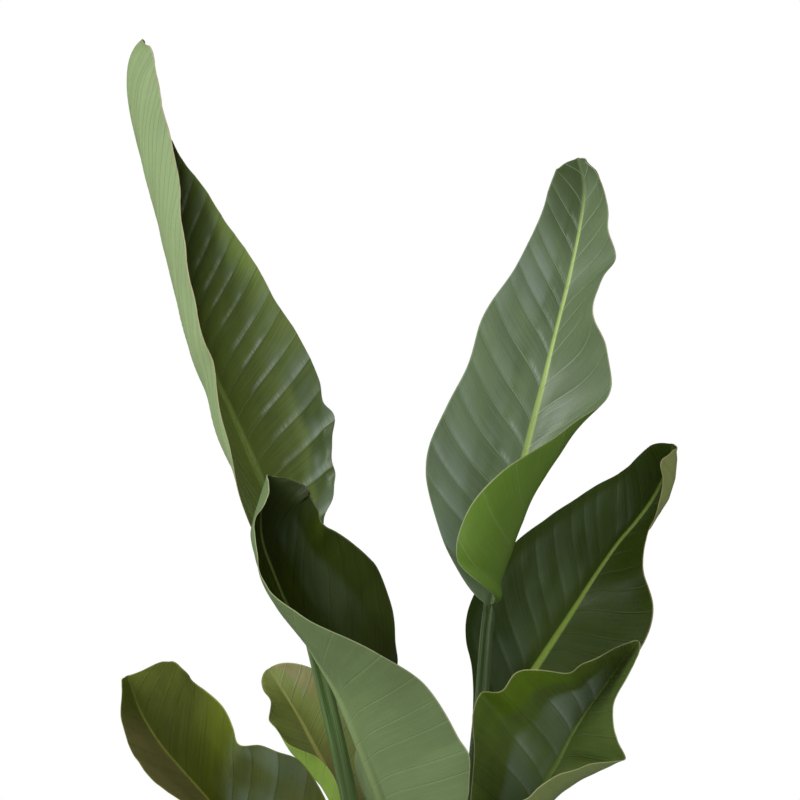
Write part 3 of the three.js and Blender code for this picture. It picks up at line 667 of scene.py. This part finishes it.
def blade(leaf, dense, lengths):
    """The blade's rows of upper, lower and edge points, and what the materials read there."""
    rows = blade_rows(leaf, dense, lengths)
    rng = np.random.default_rng(leaf["seed"])
    left = half_blade(leaf, LEFT, rows, rng)
    right = half_blade(leaf, RIGHT, rows, rng)
    middle = {name: np.zeros((len(rows.u), 1)) for name in ("x", "phase", "relief", "half")}
    middle["width"] = np.ones((len(rows.u), 1))
    middle["point"] = rows.place[:, None]
    middle["facing"] = rows.out[:, None]

    def joined(name):
        return np.concatenate([left[name][:, ::-1], middle[name], right[name]], axis=1)

    surface = joined("point")
    x = joined("x")
    width = joined("width")
    v = x / width
    normal = unit(np.cross(np.gradient(surface, axis=1), np.gradient(surface, axis=0)))
    normal = np.where((normal * joined("facing")).sum(-1, keepdims=True) < 0, -normal, normal)
    surface = surface + normal * joined("relief")[..., None]

    rib_half = rows.rib_half[:, None]
    out = rows.out[:, None]
    share = np.clip(x / rib_half, 0, 1)
    channel = rows.rib_half * (np.sin(left["fold"]) + np.sin(right["fold"])) / 4
    lift = channel[:, None] * (1 - share) ** 2
    hang = rows.keel[:, None] * np.sqrt(1 - share ** 2)
    half_thickness = lerp(BLADE_THICKNESS, MARGIN_THICKNESS, smoothstep(v, *MARGIN_THINS)) / 2
    outward_left = unit(surface[:, 0] - surface[:, 1])
    outward_right = unit(surface[:, -1] - surface[:, -2])
    return {
        "upper": surface + normal * half_thickness[..., None] + out * lift[..., None],
        "lower": surface - normal * half_thickness[..., None] - out * hang[..., None],
        "left_edge": surface[:, 0] + outward_left * MARGIN_ROUNDING,
        "right_edge": surface[:, -1] + outward_right * MARGIN_ROUNDING,
        "vein_phase": joined("phase"),
        "from_rib": x,
        "rib_share": x / rib_half,
        "from_margin": width * (1 - v),
        "half": joined("half"),
        "along": np.broadcast_to(rows.u[:, None], x.shape),
        "length": np.broadcast_to(rows.from_foot[:, None], x.shape),
    }


def stalk(leaf, dense, lengths, columns):
    """The stalk's rings, from its foot in the potting mix to the blade."""
    share = np.linspace(0, 1, STALK_ROWS, endpoint=False)
    s = (lengths[-1] - leaf["blade"]) * share
    turn = np.full(len(s), np.radians(leaf["turn"][0][1]))
    place, along, out, right = frames_at(dense, lengths, s, turn)
    radius = lerp(leaf["stalk_radius"][0], leaf["stalk_radius"][1], share)[:, None]
    flat = lerp(1, STALK_FLATTENED_TO, smoothstep(share, *STALK_FLATTENS))[:, None]
    depth = GROOVE_DEPTH * radius * smoothstep(share, *GROOVE_DEEPENS)[:, None]
    angle = math.pi * (1 - (np.arange(columns) + 1) / (columns + 1))
    x = np.broadcast_to(np.cos(angle), (len(s), columns))
    rise = np.sqrt(1 - x ** 2) * radius
    groove = depth * np.clip(1 - (x / GROOVE_HALF_WIDTH) ** 2, 0, 1) ** 2
    middle = place[:, None] + right[:, None] * (x * radius)[..., None]
    return {
        "upper": middle + out[:, None] * (rise * flat - groove)[..., None],
        "lower": middle - out[:, None] * rise[..., None],
        "left_edge": place - right * radius,
        "right_edge": place + right * radius,
        "vein_phase": np.broadcast_to(angle * leaf["stalk_radius"][0], x.shape),
        "from_rib": np.abs(x) * radius,
        "rib_share": np.zeros(x.shape),
        "from_margin": np.full(x.shape, FAR_FROM_MARGIN),
        "half": np.zeros(x.shape),
        "along": np.broadcast_to((share - 1)[:, None], x.shape),
        "length": np.broadcast_to(s[:, None], x.shape),
    }


def linked(name, points, faces):
    """An object of its own made of points in mm and faces, shaded smooth."""
    mesh = bpy.data.meshes.new(name)
    mesh.from_pydata((np.array(points, float) * MM).tolist(), [], faces)
    mesh.polygons.foreach_set("use_smooth", [True] * len(mesh.polygons))
    piece = bpy.data.objects.new(name, mesh)
    bpy.context.scene.collection.objects.link(piece)
    return piece


def end_faces(index, columns, row):
    """Faces that close a leaf's first or last ring, between its upper and lower points."""
    around = index.shape[1]
    faces = []
    for j in range(columns - 1):
        faces.append([
            index[row, j], index[row, j + 1], index[row, around - 3 - j], index[row, around - 2 - j],
        ])
    for a, b, c in ((columns - 1, columns, columns + 1), (around - 2, around - 1, 0)):
        faces.append([index[row, a], index[row, b], index[row, c]])
    return faces


def leaf_object(leaf, materials):
    dense, lengths = smooth_curve(leaf["midrib"])
    upper_part = blade(leaf, dense, lengths)
    columns = upper_part["upper"].shape[1]
    lower_part = stalk(leaf, dense, lengths, columns)

    def ring(part):
        return np.concatenate([
            part["upper"], part["right_edge"][:, None], part["lower"][:, ::-1],
            part["left_edge"][:, None],
        ], axis=1)

    def read(part, name):
        values = part[name]
        return np.concatenate([values, values[:, -1:], values[:, ::-1], values[:, :1]], axis=1)

    points = np.concatenate([ring(lower_part), ring(upper_part)])
    rows, around = points.shape[:2]
    index = np.arange(rows * around).reshape(rows, around)
    beside = np.roll(index, -1, axis=1)
    quads = np.stack([index[:-1], index[1:], beside[1:], beside[:-1]], axis=-1)
    sides = np.full((rows - 1, around), STALK_SLOT)
    sides[STALK_ROWS - 1:, :columns] = UPPER_SLOT
    sides[STALK_ROWS - 1:, columns:] = UNDER_SLOT
    sides[STALK_ROWS - 1:, around - 1] = UPPER_SLOT
    foot = end_faces(index, columns, 0)
    tip = [face[::-1] for face in end_faces(index, columns, rows - 1)]
    faces = quads.reshape(-1, 4).tolist() + foot + tip
    slots = sides.reshape(-1).tolist() + [STALK_SLOT] * len(foot) + [UPPER_SLOT] * len(tip)

    piece = linked(leaf["name"] + "_fine", points.reshape(-1, 3), faces)
    mesh = piece.data
    for name in READ_BY_MATERIALS:
        values = np.concatenate([read(lower_part, name), read(upper_part, name)]).reshape(-1)
        attribute = mesh.attributes.new(name, "FLOAT", "POINT")
        attribute.data.foreach_set("value", values.astype(np.float32))
    for material in materials:
        mesh.materials.append(material)
    mesh.polygons.foreach_set("material_index", slots)
    mesh.update()
    return piece


class Nodes:
    """Builds one material's nodes."""

    def __init__(self, name):
        self.material = bpy.data.materials.new(name)
        self.material.use_nodes = True
        self.tree = self.material.node_tree
        self.shader = self.tree.nodes["Principled BSDF"]

    def set(self, socket, value):
        if isinstance(value, bpy.types.NodeSocket):
            self.tree.links.new(value, socket)
        elif isinstance(value, tuple) and len(value) == 3 and len(socket.default_value) == 4:
            socket.default_value = (*value, 1)
        else:
            socket.default_value = value

    def shade_by(self, **inputs):
        """Sets the shader's inputs, named with underscores for spaces."""
        for name, value in inputs.items():
            self.set(self.shader.inputs[name.replace("_", " ")], value)

    def add(self, kind, inputs, output=0, **settings):
        node = self.tree.nodes.new(kind)
        for name, value in settings.items():
            setattr(node, name, value)
        for name, value in inputs.items():
            self.set(node.inputs[name], value)
        return node.outputs[output]

    def read(self, name):
        return self.add("ShaderNodeAttribute", {}, 2, attribute_name=name)

    def place_on_object(self):
        return self.add("ShaderNodeTexCoord", {}, 3)

    def math(self, operation, a, b=0.0):
        return self.add("ShaderNodeMath", {0: a, 1: b}, operation=operation)

    def times(self, product, *others):
        for other in others:
            product = self.math("MULTIPLY", product, other)
        return product

    def ramp(self, value, low, high, to_low=0.0, to_high=1.0):
        """Value between low and high, smoothly turned into to_low to to_high."""
        return self.add(
            "ShaderNodeMapRange",
            {"Value": value, "From Min": low, "From Max": high, "To Min": to_low, "To Max": to_high},
            interpolation_type="SMOOTHSTEP",
        )

    def within(self, value, low, high, soft=0.12):
        """1 where value is between low and high, falling to 0 over soft outside."""
        return self.times(self.ramp(value, low - soft, low), self.ramp(value, high, high + soft, 1.0, 0.0))

    def mix(self, share, a, b):
        return self.add("ShaderNodeMix", {0: share, 6: a, 7: b}, 2, data_type="RGBA")

    def noise(self, place, scale, detail, roughness=0.5):
        inputs = {"Vector": place, "Scale": scale, "Detail": detail, "Roughness": roughness}
        return self.add("ShaderNodeTexNoise", inputs)

    def pattern(self, x, x_scale, y, y_scale, z, detail):
        """Noise over two values, each with its scale; z picks another part of the noise."""
        place = {0: self.times(x, x_scale), 1: self.times(y, y_scale), 2: z}
        return self.noise(self.add("ShaderNodeCombineXYZ", place), 1.0, detail)

    def bump(self, height, distance, normal=None):
        inputs = {"Height": height, "Distance": distance}
        if normal is not None:
            inputs["Normal"] = normal
        return self.add("ShaderNodeBump", inputs)


class BladeNodes(Nodes):
    """A blade material's nodes, with the values and patterns that its colours are mixed by."""

    def __init__(self, leaf, side):
        super().__init__(leaf["name"] + "_" + side)
        spacing = leaf["vein_spacing"]
        seed = float(leaf["seed"])
        self.phase = self.read("vein_phase")
        self.from_rib = self.read("from_rib")
        self.rib_share = self.read("rib_share")
        self.from_margin = self.read("from_margin")
        self.along = self.read("along")
        self.half = self.read("half")
        self.in_strip = self.math("FRACT", self.phase)
        self.to_vein = self.times(self.math("PINGPONG", self.phase, 0.5), spacing)
        self.blotch = self.pattern(self.read("length"), 0.018, self.from_rib, 0.025, seed, 3.0)
        self.fibres = self.pattern(self.phase, 0.6 * spacing, self.from_rib, 0.02, seed, 3.0)
        self.combs = self.pattern(self.from_rib, 0.9, self.phase, 0.4, seed, 2.0)

    def share_to_margin(self):
        across = self.math("ADD", self.from_rib, self.math("ADD", self.from_margin, 0.01))
        return self.math("DIVIDE", self.from_rib, across)

    def on_half(self, sign):
        return self.ramp(self.times(self.half, float(sign)), 0.0, 0.1)

    def on_area(self, place, share):
        """1 on an area of the upper side, falling off softly around it."""
        inside = self.times(self.within(self.along, *place["along"]), self.within(share, *place["share"]))
        return self.times(inside, self.on_half(place["half"]))


def shade(colour, factor):
    return tuple(min(1.0, c * factor) for c in colour)


def strip_colours(n, leaf, colour):
    """Ground colour, uneven along the blade and from one strip between side veins to the next, with
    painted shade darkening each strip toward the next vein.
    """
    strip = n.math("FLOOR", n.phase)
    strip_tone = n.add("ShaderNodeTexWhiteNoise", {"W": strip}, noise_dimensions="1D")
    depth = 0.3 * leaf["pleats"]
    base = n.mix(n.ramp(n.blotch, 0.32, 0.68), shade(colour, 0.8), shade(colour, 1.2))
    base = n.mix(n.ramp(strip_tone, 0.0, 1.0, 0.0, depth), base, shade(colour, 0.75))
    # Painted shade: each strip darkens from one side vein toward the next, as its tilt would shade it.
    base = n.mix(n.ramp(n.in_strip, 0.1, 1.0, 0.0, depth), base, shade(colour, 0.7))
    return n.mix(n.ramp(n.fibres, 0.42, 0.62, 0.0, 0.24), base, shade(colour, 1.6))


def upper_colours(n, leaf, base):
    """Glow beside the midrib, tinted areas, painted highlights in streaks and films of light, painted
    shade in the vein creases, and side veins.
    """
    glow = n.times(n.ramp(n.from_rib, 4, 40, 0.5, 0.0), n.ramp(n.along, 0.25, 0.75, 1.0, 0.0))
    base = n.mix(glow, base, leaf["glow"])
    share = n.share_to_margin()
    for tint in leaf["tints"]:
        strength = n.ramp(n.blotch, 0.25, 0.6, 0.6 * tint["amount"], tint["amount"])
        base = n.mix(n.times(n.on_area(tint, share), strength), base, tint["colour"])
    beside_vein = n.times(n.ramp(n.in_strip, 0.01, 0.06), n.ramp(n.in_strip, 0.06, 0.3, 1.0, 0.0))
    highlight_streak = n.times(beside_vein, n.ramp(n.combs, 0.4, 0.6, 0.35, 1.0))
    film = n.ramp(n.in_strip, 0.0, 0.9, 1.0, 1 - leaf["pleats"])
    patches = n.pattern(n.phase, 0.55, n.from_rib, 0.03, float(leaf["seed"] + 3), 1.0)
    patches = n.ramp(patches, 0.3, 0.6, 0.25, 1.0)
    # Painted highlights: streaks beside the side veins and a film of sheen over each area.
    for place in leaf["sheen"]:
        shown = n.times(n.on_area(place, share), patches)
        base = n.mix(n.times(shown, highlight_streak, place["streaks"]), base, PAINTED_HIGHLIGHT_STREAK_COLOUR)
        base = n.mix(n.times(shown, film, place["film"]), base, PAINTED_SHEEN_FILM_COLOUR)
    shadow = n.times(n.ramp(n.in_strip, 0.9, 0.98), 0.3 * leaf["pleats"])
    base = n.mix(shadow, base, shade(leaf["upper"], 0.45))
    # The side veins' lighter lines are their own paler colour and partly a painted highlight, strongest
    # beside the midrib.
    fading = n.ramp(n.from_rib, 5, 60, leaf["veins"], 0.3 * leaf["veins"])
    return n.mix(n.times(n.ramp(n.to_vein, 0.2, 0.9, 1.0, 0.0), fading), base, leaf["vein"])


def under_colours(n, leaf, base):
    """The underside's folded or rolled stretch, its fibres, and faint side veins."""
    flap = leaf["flap_place"]
    on_half = n.ramp(n.times(n.half, float(flap["half"])), -0.1, 0.6)
    base = n.mix(n.times(n.within(n.along, *flap["along"], 0.25), on_half), base, leaf["flap"])
    base = n.mix(n.ramp(n.fibres, 0.42, 0.62, 0.0, 0.2), base, shade(leaf["flap"], 1.3))
    base = n.mix(n.ramp(n.blotch, 0.35, 0.7, 0.0, 0.3), base, shade(leaf["flap"], 0.75))
    return n.mix(n.ramp(n.to_vein, 0.2, 0.9, 0.3, 0.0), base, shade(UNDER_COLOUR, 1.25))


def rib_and_margins(n, leaf, base, colour, rib_colour):
    """The midrib, in the stalk's colour at its base, and the margins' thin lines."""
    rib_colour = n.mix(n.ramp(n.along, 0.0, 0.22), leaf["stalk"], rib_colour)
    rib_colour = n.mix(n.ramp(n.rib_share, 0.25, 0.9, 0.0, 0.45), rib_colour, shade(colour, 1.3))
    on_rib = n.times(n.ramp(n.rib_share, 0.85, 1.05, 1.0, 0.0), n.ramp(n.along, 0.8, 0.96, 1.0, 0.15))
    base = n.mix(on_rib, base, rib_colour)
    edge = n.times(n.ramp(n.from_margin, 0.4, 1.0, 1.0, 0.0), n.ramp(n.blotch, 0.3, 0.7, 0.3, 0.7))
    for sign, margin in zip((LEFT, RIGHT), leaf["margins"]):
        if margin is not None:
            base = n.mix(n.times(edge, n.on_half(sign)), base, margin)
    return base


def upper_material(leaf):
    """The upper side, darker and glossy, with grooves along its side veins."""
    n = BladeNodes(leaf, "upper")
    colour = leaf["upper"]
    base = upper_colours(n, leaf, strip_colours(n, leaf, colour))
    base = rib_and_margins(n, leaf, base, colour, leaf["rib"])
    return finished_blade(n, base, UPPER_ROUGHNESS, leaf["gloss"], n.ramp(n.to_vein, 0.0, 0.9))


def under_material(leaf):
    """The underside, paler and matte, with ridges along its side veins."""
    n = BladeNodes(leaf, "under")
    base = under_colours(n, leaf, strip_colours(n, leaf, UNDER_COLOUR))
    base = rib_and_margins(n, leaf, base, UNDER_COLOUR, shade(UNDER_COLOUR, 1.12))
    ridges = n.ramp(n.to_vein, 0.0, 0.9, 1.0, 0.0)
    return finished_blade(n, base, UNDER_ROUGHNESS, UNDER_GLOSS, ridges)


def finished_blade(n, base, roughness, gloss, vein_height):
    relief = n.bump(vein_height, VEIN_RELIEF)
    relief = n.bump(n.fibres, FIBRE_RELIEF, relief)
    relief = n.bump(n.combs, COMB_RELIEF, relief)
    uneven_roughness = n.ramp(n.fibres, 0.3, 0.7, roughness - 0.05, roughness + 0.08)
    n.shade_by(Base_Color=base, Roughness=uneven_roughness, Specular_IOR_Level=gloss, Normal=relief)
    return n.material


def stalk_material(leaf):
    n = Nodes(leaf["name"] + "_stalk")
    length = n.read("length")
    colour = leaf["stalk"]
    streaks = n.pattern(n.read("vein_phase"), 0.9, length, 0.012, float(leaf["seed"]), 3.0)
    base = n.mix(n.ramp(streaks, 0.35, 0.65), shade(colour, 0.75), shade(colour, 1.35))
    base = n.mix(n.ramp(length, 50, 130, 0.75, 0.0), base, STALK_FOOT_COLOUR)
    roughness = n.ramp(streaks, 0.3, 0.7, 0.38, 0.5)
    n.shade_by(Base_Color=base, Roughness=roughness, Normal=n.bump(streaks, STALK_RELIEF))
    return n.material


def pot_material():
    n = Nodes("pot_plastic")
    place = n.place_on_object()
    grain = n.noise(place, 900.0, 2.0)
    dust = n.noise(place, 14.0, 4.0)
    base = n.mix(n.ramp(dust, 0.45, 0.75), (0.022, 0.023, 0.025), (0.032, 0.032, 0.031))
    roughness = n.ramp(dust, 0.3, 0.7, 0.5, 0.68)
    n.shade_by(Base_Color=base, Roughness=roughness, Normal=n.bump(grain, POT_RELIEF))
    return n.material


def soil_material():
    """Dark crumbs, and chips of bark where the tone that the mesh holds is above 0."""
    n = Nodes("potting_mix")
    place = n.place_on_object()
    tone = n.read("tone")
    crumbs = n.noise(place, 420.0, 6.0, 0.7)
    lumps = n.noise(place, 90.0, 4.0)
    fibres = n.pattern(tone, 90.0, lumps, 9.0, 0.0, 3.0)
    base = n.mix(n.ramp(crumbs, 0.38, 0.66), (0.008, 0.005, 0.003), (0.070, 0.042, 0.025))
    base = n.mix(n.ramp(lumps, 0.4, 0.7, 0.0, 0.6), base, (0.024, 0.015, 0.010))
    bark = n.mix(n.ramp(tone, 0.2, 1.0), (0.035, 0.019, 0.011), (0.150, 0.088, 0.050))
    bark = n.mix(n.ramp(fibres, 0.4, 0.65, 0.0, 0.6), bark, (0.030, 0.018, 0.011))
    base = n.mix(n.ramp(tone, 0.05, 0.15), base, bark)
    relief = n.bump(crumbs, SOIL_RELIEF)
    n.shade_by(Base_Color=base, Roughness=0.92, Specular_IOR_Level=0.25, Normal=relief)
    return n.material


def pot_radius_at(z):
    return lerp(POT_BASE_RADIUS, POT_TOP_RADIUS, z / POT_HEIGHT)


def around_axis(radius, angles, z):
    """Points at angles round the upright axis."""
    return np.stack([radius * np.cos(angles), radius * np.sin(angles), z + 0 * angles], 1)


def rounded(corners, radius, steps=5):
    """An open profile whose corners, but for its two ends, are rounded off."""
    result = [tuple(corners[0])]
    for before, corner, after in zip(corners, corners[1:], corners[2:]):
        corner = np.array(corner, float)
        to_before = np.array(before, float) - corner
        to_after = np.array(after, float) - corner
        cut = min(radius, 0.45 * np.linalg.norm(to_before), 0.45 * np.linalg.norm(to_after))
        start = corner + to_before / np.linalg.norm(to_before) * cut
        end = corner + to_after / np.linalg.norm(to_after) * cut
        for t in np.linspace(0, 1, steps):
            result.append(tuple(start * (1 - t) ** 2 + corner * 2 * t * (1 - t) + end * t ** 2))
    return result + [tuple(corners[-1])]


def turned(circles, foot, top):
    """Points and faces of a closed body made of circles, from one middle point to the other."""
    count = len(circles[0])
    last = (len(circles) - 1) * count
    points = np.vstack(circles + [[(0, 0, foot), (0, 0, top)]]).tolist()
    faces = []
    for i in range(count):
        j = (i + 1) % count
        for a in range(0, last, count):
            faces.append((a + i, a + j, a + count + j, a + count + i))
        faces.append((len(points) - 2, j, i))
        faces.append((len(points) - 1, last + i, last + j))
    return points, faces


def drill(piece, x, y, radius):
    """Cuts an upright hole through the pot's floor."""
    middle = (x * MM, y * MM, POT_FLOOR * MM / 2)
    depth = 4 * POT_FLOOR * MM
    bpy.ops.mesh.primitive_cylinder_add(vertices=40, radius=radius * MM, depth=depth, location=middle)
    cutter = bpy.context.object
    cut = piece.modifiers.new("drain", "BOOLEAN")
    cut.operation = "DIFFERENCE"
    cut.object = cutter
    bpy.context.view_layer.objects.active = piece
    bpy.ops.object.modifier_apply(modifier=cut.name)
    bpy.data.objects.remove(cutter)


def pot_object():
    rim_under = POT_HEIGHT - RIM_DEPTH
    inner_foot = pot_radius_at(POT_FLOOR) - POT_WALL
    profile = [
        (0, 0), (POT_BASE_RADIUS - FOOT_INSET, 0), (pot_radius_at(rim_under), rim_under),
        (POT_TOP_RADIUS + RIM_REACH, rim_under), (POT_TOP_RADIUS + RIM_REACH, POT_HEIGHT),
        (POT_TOP_RADIUS - POT_WALL, POT_HEIGHT), (inner_foot, POT_FLOOR), (0, POT_FLOOR),
    ]
    angles = np.linspace(0, 2 * math.pi, POT_SEGMENTS, endpoint=False)
    circles = [around_axis(radius, angles, z) for radius, z in rounded(profile, CORNER_ROUNDING)[1:-1]]
    piece = linked("pot_fine", *turned(circles, 0, POT_FLOOR))
    for i in range(DRAIN_HOLES):
        angle = 2 * math.pi * (i + 0.5) / DRAIN_HOLES
        x = DRAIN_HOLE_CIRCLE * math.cos(angle)
        y = DRAIN_HOLE_CIRCLE * math.sin(angle)
        drill(piece, x, y, DRAIN_HOLE_RADIUS)
    return piece


def soil_height(x, y, radius):
    share = np.hypot(x, y) / radius
    lumps = 0
    for height, length, seed, waves in SOIL_LUMPS:
        lumps = lumps + height * ripple(x / length, y / length, seed, waves)
    return SOIL_EDGE_HEIGHT + SOIL_DOME * (1 - share ** 2) + lumps


def stalk_place(leaf, z):
    """Where a leaf's stalk stands at a height near the potting mix."""
    (x0, y0, z0), (x1, y1, z1) = leaf["midrib"][:2]
    return lerp(x0, x1, (z - z0) / (z1 - z0)), lerp(y0, y1, (z - z0) / (z1 - z0))


def chip(x, y, z, size, rng):
    """Points and faces of a bark chip: a flat piece with six uneven corners, lying askew."""
    turn = rng.uniform(0, 2 * math.pi)
    tilt = rng.uniform(*CHIP_TILTS, 2)
    points = []
    for layer in (-1, 1):
        for k in range(CHIP_CORNERS):
            angle = 2 * math.pi * k / CHIP_CORNERS
            along = size * math.cos(angle) * rng.uniform(*CHIP_LENGTHS)
            aside = CHIP_WIDTH * size * math.sin(angle) * rng.uniform(*CHIP_WIDTHS)
            rise = layer * CHIP_THICKNESS * size * rng.uniform(*CHIP_THICKNESSES)
            points.append((
                x + along * math.cos(turn) - aside * math.sin(turn),
                y + along * math.sin(turn) + aside * math.cos(turn),
                z + rise + tilt[0] * along + tilt[1] * aside,
            ))
    corners = range(CHIP_CORNERS)
    faces = [tuple(reversed(corners)), tuple(CHIP_CORNERS + k for k in corners)]
    for k in corners:
        following = (k + 1) % CHIP_CORNERS
        faces.append((k, following, CHIP_CORNERS + following, CHIP_CORNERS + k))
    return points, faces


def soil_body(edge):
    """Points and faces of the mix without its chips: foot, side and uneven top."""
    floor = POT_FLOOR + SOIL_GAP
    low = pot_radius_at(floor + SOIL_FOOT_BEVEL) - POT_WALL - SOIL_GAP
    angles = np.linspace(0, 2 * math.pi, SOIL_SEGMENTS, endpoint=False)
    circles = [
        around_axis(low - SOIL_FOOT_BEVEL, angles, floor),
        around_axis(low, angles, floor + SOIL_FOOT_BEVEL),
        around_axis(edge, angles, SOIL_EDGE_HEIGHT - SOIL_SIDE_DROP),
    ]
    for ring in range(SOIL_RINGS, 0, -1):
        radius = (edge - SOIL_EDGE_INSET) * ring / SOIL_RINGS
        height = soil_height(radius * np.cos(angles), radius * np.sin(angles), edge)
        circles.append(around_axis(radius, angles, height))
    return turned(circles, floor, soil_height(0.0, 0.0, edge))


def soil_object():
    edge = pot_radius_at(SOIL_EDGE_HEIGHT - SOIL_EDGE_DROP) - POT_WALL - SOIL_GAP
    points, faces = soil_body(edge)
    smooth = [True] * len(faces)
    tones = [0.0] * len(points)
    rng = np.random.default_rng(CHIP_SEED)
    stalks = [stalk_place(leaf, SOIL_EDGE_HEIGHT) for leaf in LEAVES]
    laid = 0
    while laid < CHIPS:
        size = rng.uniform(*CHIP_SIZES) ** 2
        radius = (edge - size) * math.sqrt(rng.uniform(0, 1))
        angle = rng.uniform(0, 2 * math.pi)
        x = radius * math.cos(angle)
        y = radius * math.sin(angle)
        if min(math.hypot(x - a, y - b) for a, b in stalks) < size + CHIPS_FROM_STALK:
            continue
        z = soil_height(x, y, edge) + CHIP_LIFT * size
        more_points, more_faces = chip(x, y, z, size, rng)
        first = len(points)
        points += more_points
        faces += [tuple(first + k for k in face) for face in more_faces]
        smooth += [False] * len(more_faces)
        tones += [rng.uniform(*CHIP_TONES)] * len(more_points)
        laid += 1
    piece = linked("potting_mix", points, faces)
    piece.data.polygons.foreach_set("use_smooth", smooth)
    tone = piece.data.attributes.new("tone", "FLOAT", "POINT")
    tone.data.foreach_set("value", np.array(tones, np.float32))
    return piece


def area_light(name, place, size, power, colour):
    """A light that shines on the middle of the plant."""
    data = bpy.data.lights.new(name, "AREA")
    data.shape = "RECTANGLE"
    data.size, data.size_y = size
    data.energy = power
    data.color = colour
    light = bpy.data.objects.new(name, data)
    bpy.context.scene.collection.objects.link(light)
    light.location = place
    way = mathutils.Vector(LIT_POINT) - mathutils.Vector(place)
    light.rotation_euler = way.to_track_quat("-Z", "Y").to_euler()


def white_world():
    """A soft white light from all round, weaker in reflections, that the camera sees as white."""
    world = bpy.data.worlds.new("studio")
    bpy.context.scene.world = world
    world.use_nodes = True
    tree = world.node_tree
    background = tree.nodes["Background"]
    background.inputs["Color"].default_value = (1, 1, 1, 1)
    path = tree.nodes.new("ShaderNodeLightPath")
    for_gloss = tree.nodes.new("ShaderNodeMapRange")
    for_gloss.inputs["To Min"].default_value = WORLD_STRENGTH
    for_gloss.inputs["To Max"].default_value = WORLD_IN_GLOSS
    tree.links.new(path.outputs["Is Glossy Ray"], for_gloss.inputs["Value"])
    seen = tree.nodes.new("ShaderNodeMapRange")
    seen.inputs["To Max"].default_value = 1.0
    tree.links.new(for_gloss.outputs[0], seen.inputs["To Min"])
    tree.links.new(path.outputs["Is Camera Ray"], seen.inputs["Value"])
    tree.links.new(seen.outputs[0], background.inputs["Strength"])


def studio_floor():
    bpy.ops.mesh.primitive_circle_add(vertices=96, radius=FLOOR_RADIUS, fill_type="NGON")
    disc = bpy.context.object
    disc.name = "floor"
    n = Nodes("floor")
    n.shade_by(Base_Color=FLOOR_COLOUR, Roughness=0.8)
    disc.data.materials.append(n.material)
    disc.visible_glossy = False


def camera():
    data = bpy.data.cameras.new("camera")
    data.sensor_width = SENSOR_WIDTH
    data.lens = SENSOR_WIDTH * CAMERA_DISTANCE / FRAME_WIDTH
    data.clip_end = SEEN_TO_METRES
    item = bpy.data.objects.new("camera", data)
    bpy.context.scene.collection.objects.link(item)
    item.location = (CAMERA_X * MM, -CAMERA_DISTANCE * MM, CAMERA_Z * MM)
    item.rotation_euler = (math.pi / 2, 0, 0)
    bpy.context.scene.camera = item
    bpy.context.scene.view_settings.view_transform = "Standard"


camera()
white_world()
for light in LIGHTS:
    area_light(*light)
studio_floor()

for leaf in LEAVES:
    looks = [stalk_material(leaf), upper_material(leaf), under_material(leaf)]
    fine = leaf_object(leaf, looks)
    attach(fine, "root")
    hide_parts(leaf["name"])

pot = pot_object()
pot.data.materials.append(pot_material())
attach(pot, "root")
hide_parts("pot")

soil = soil_object()
soil.data.materials.append(soil_material())
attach(soil, "root")
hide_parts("soil")
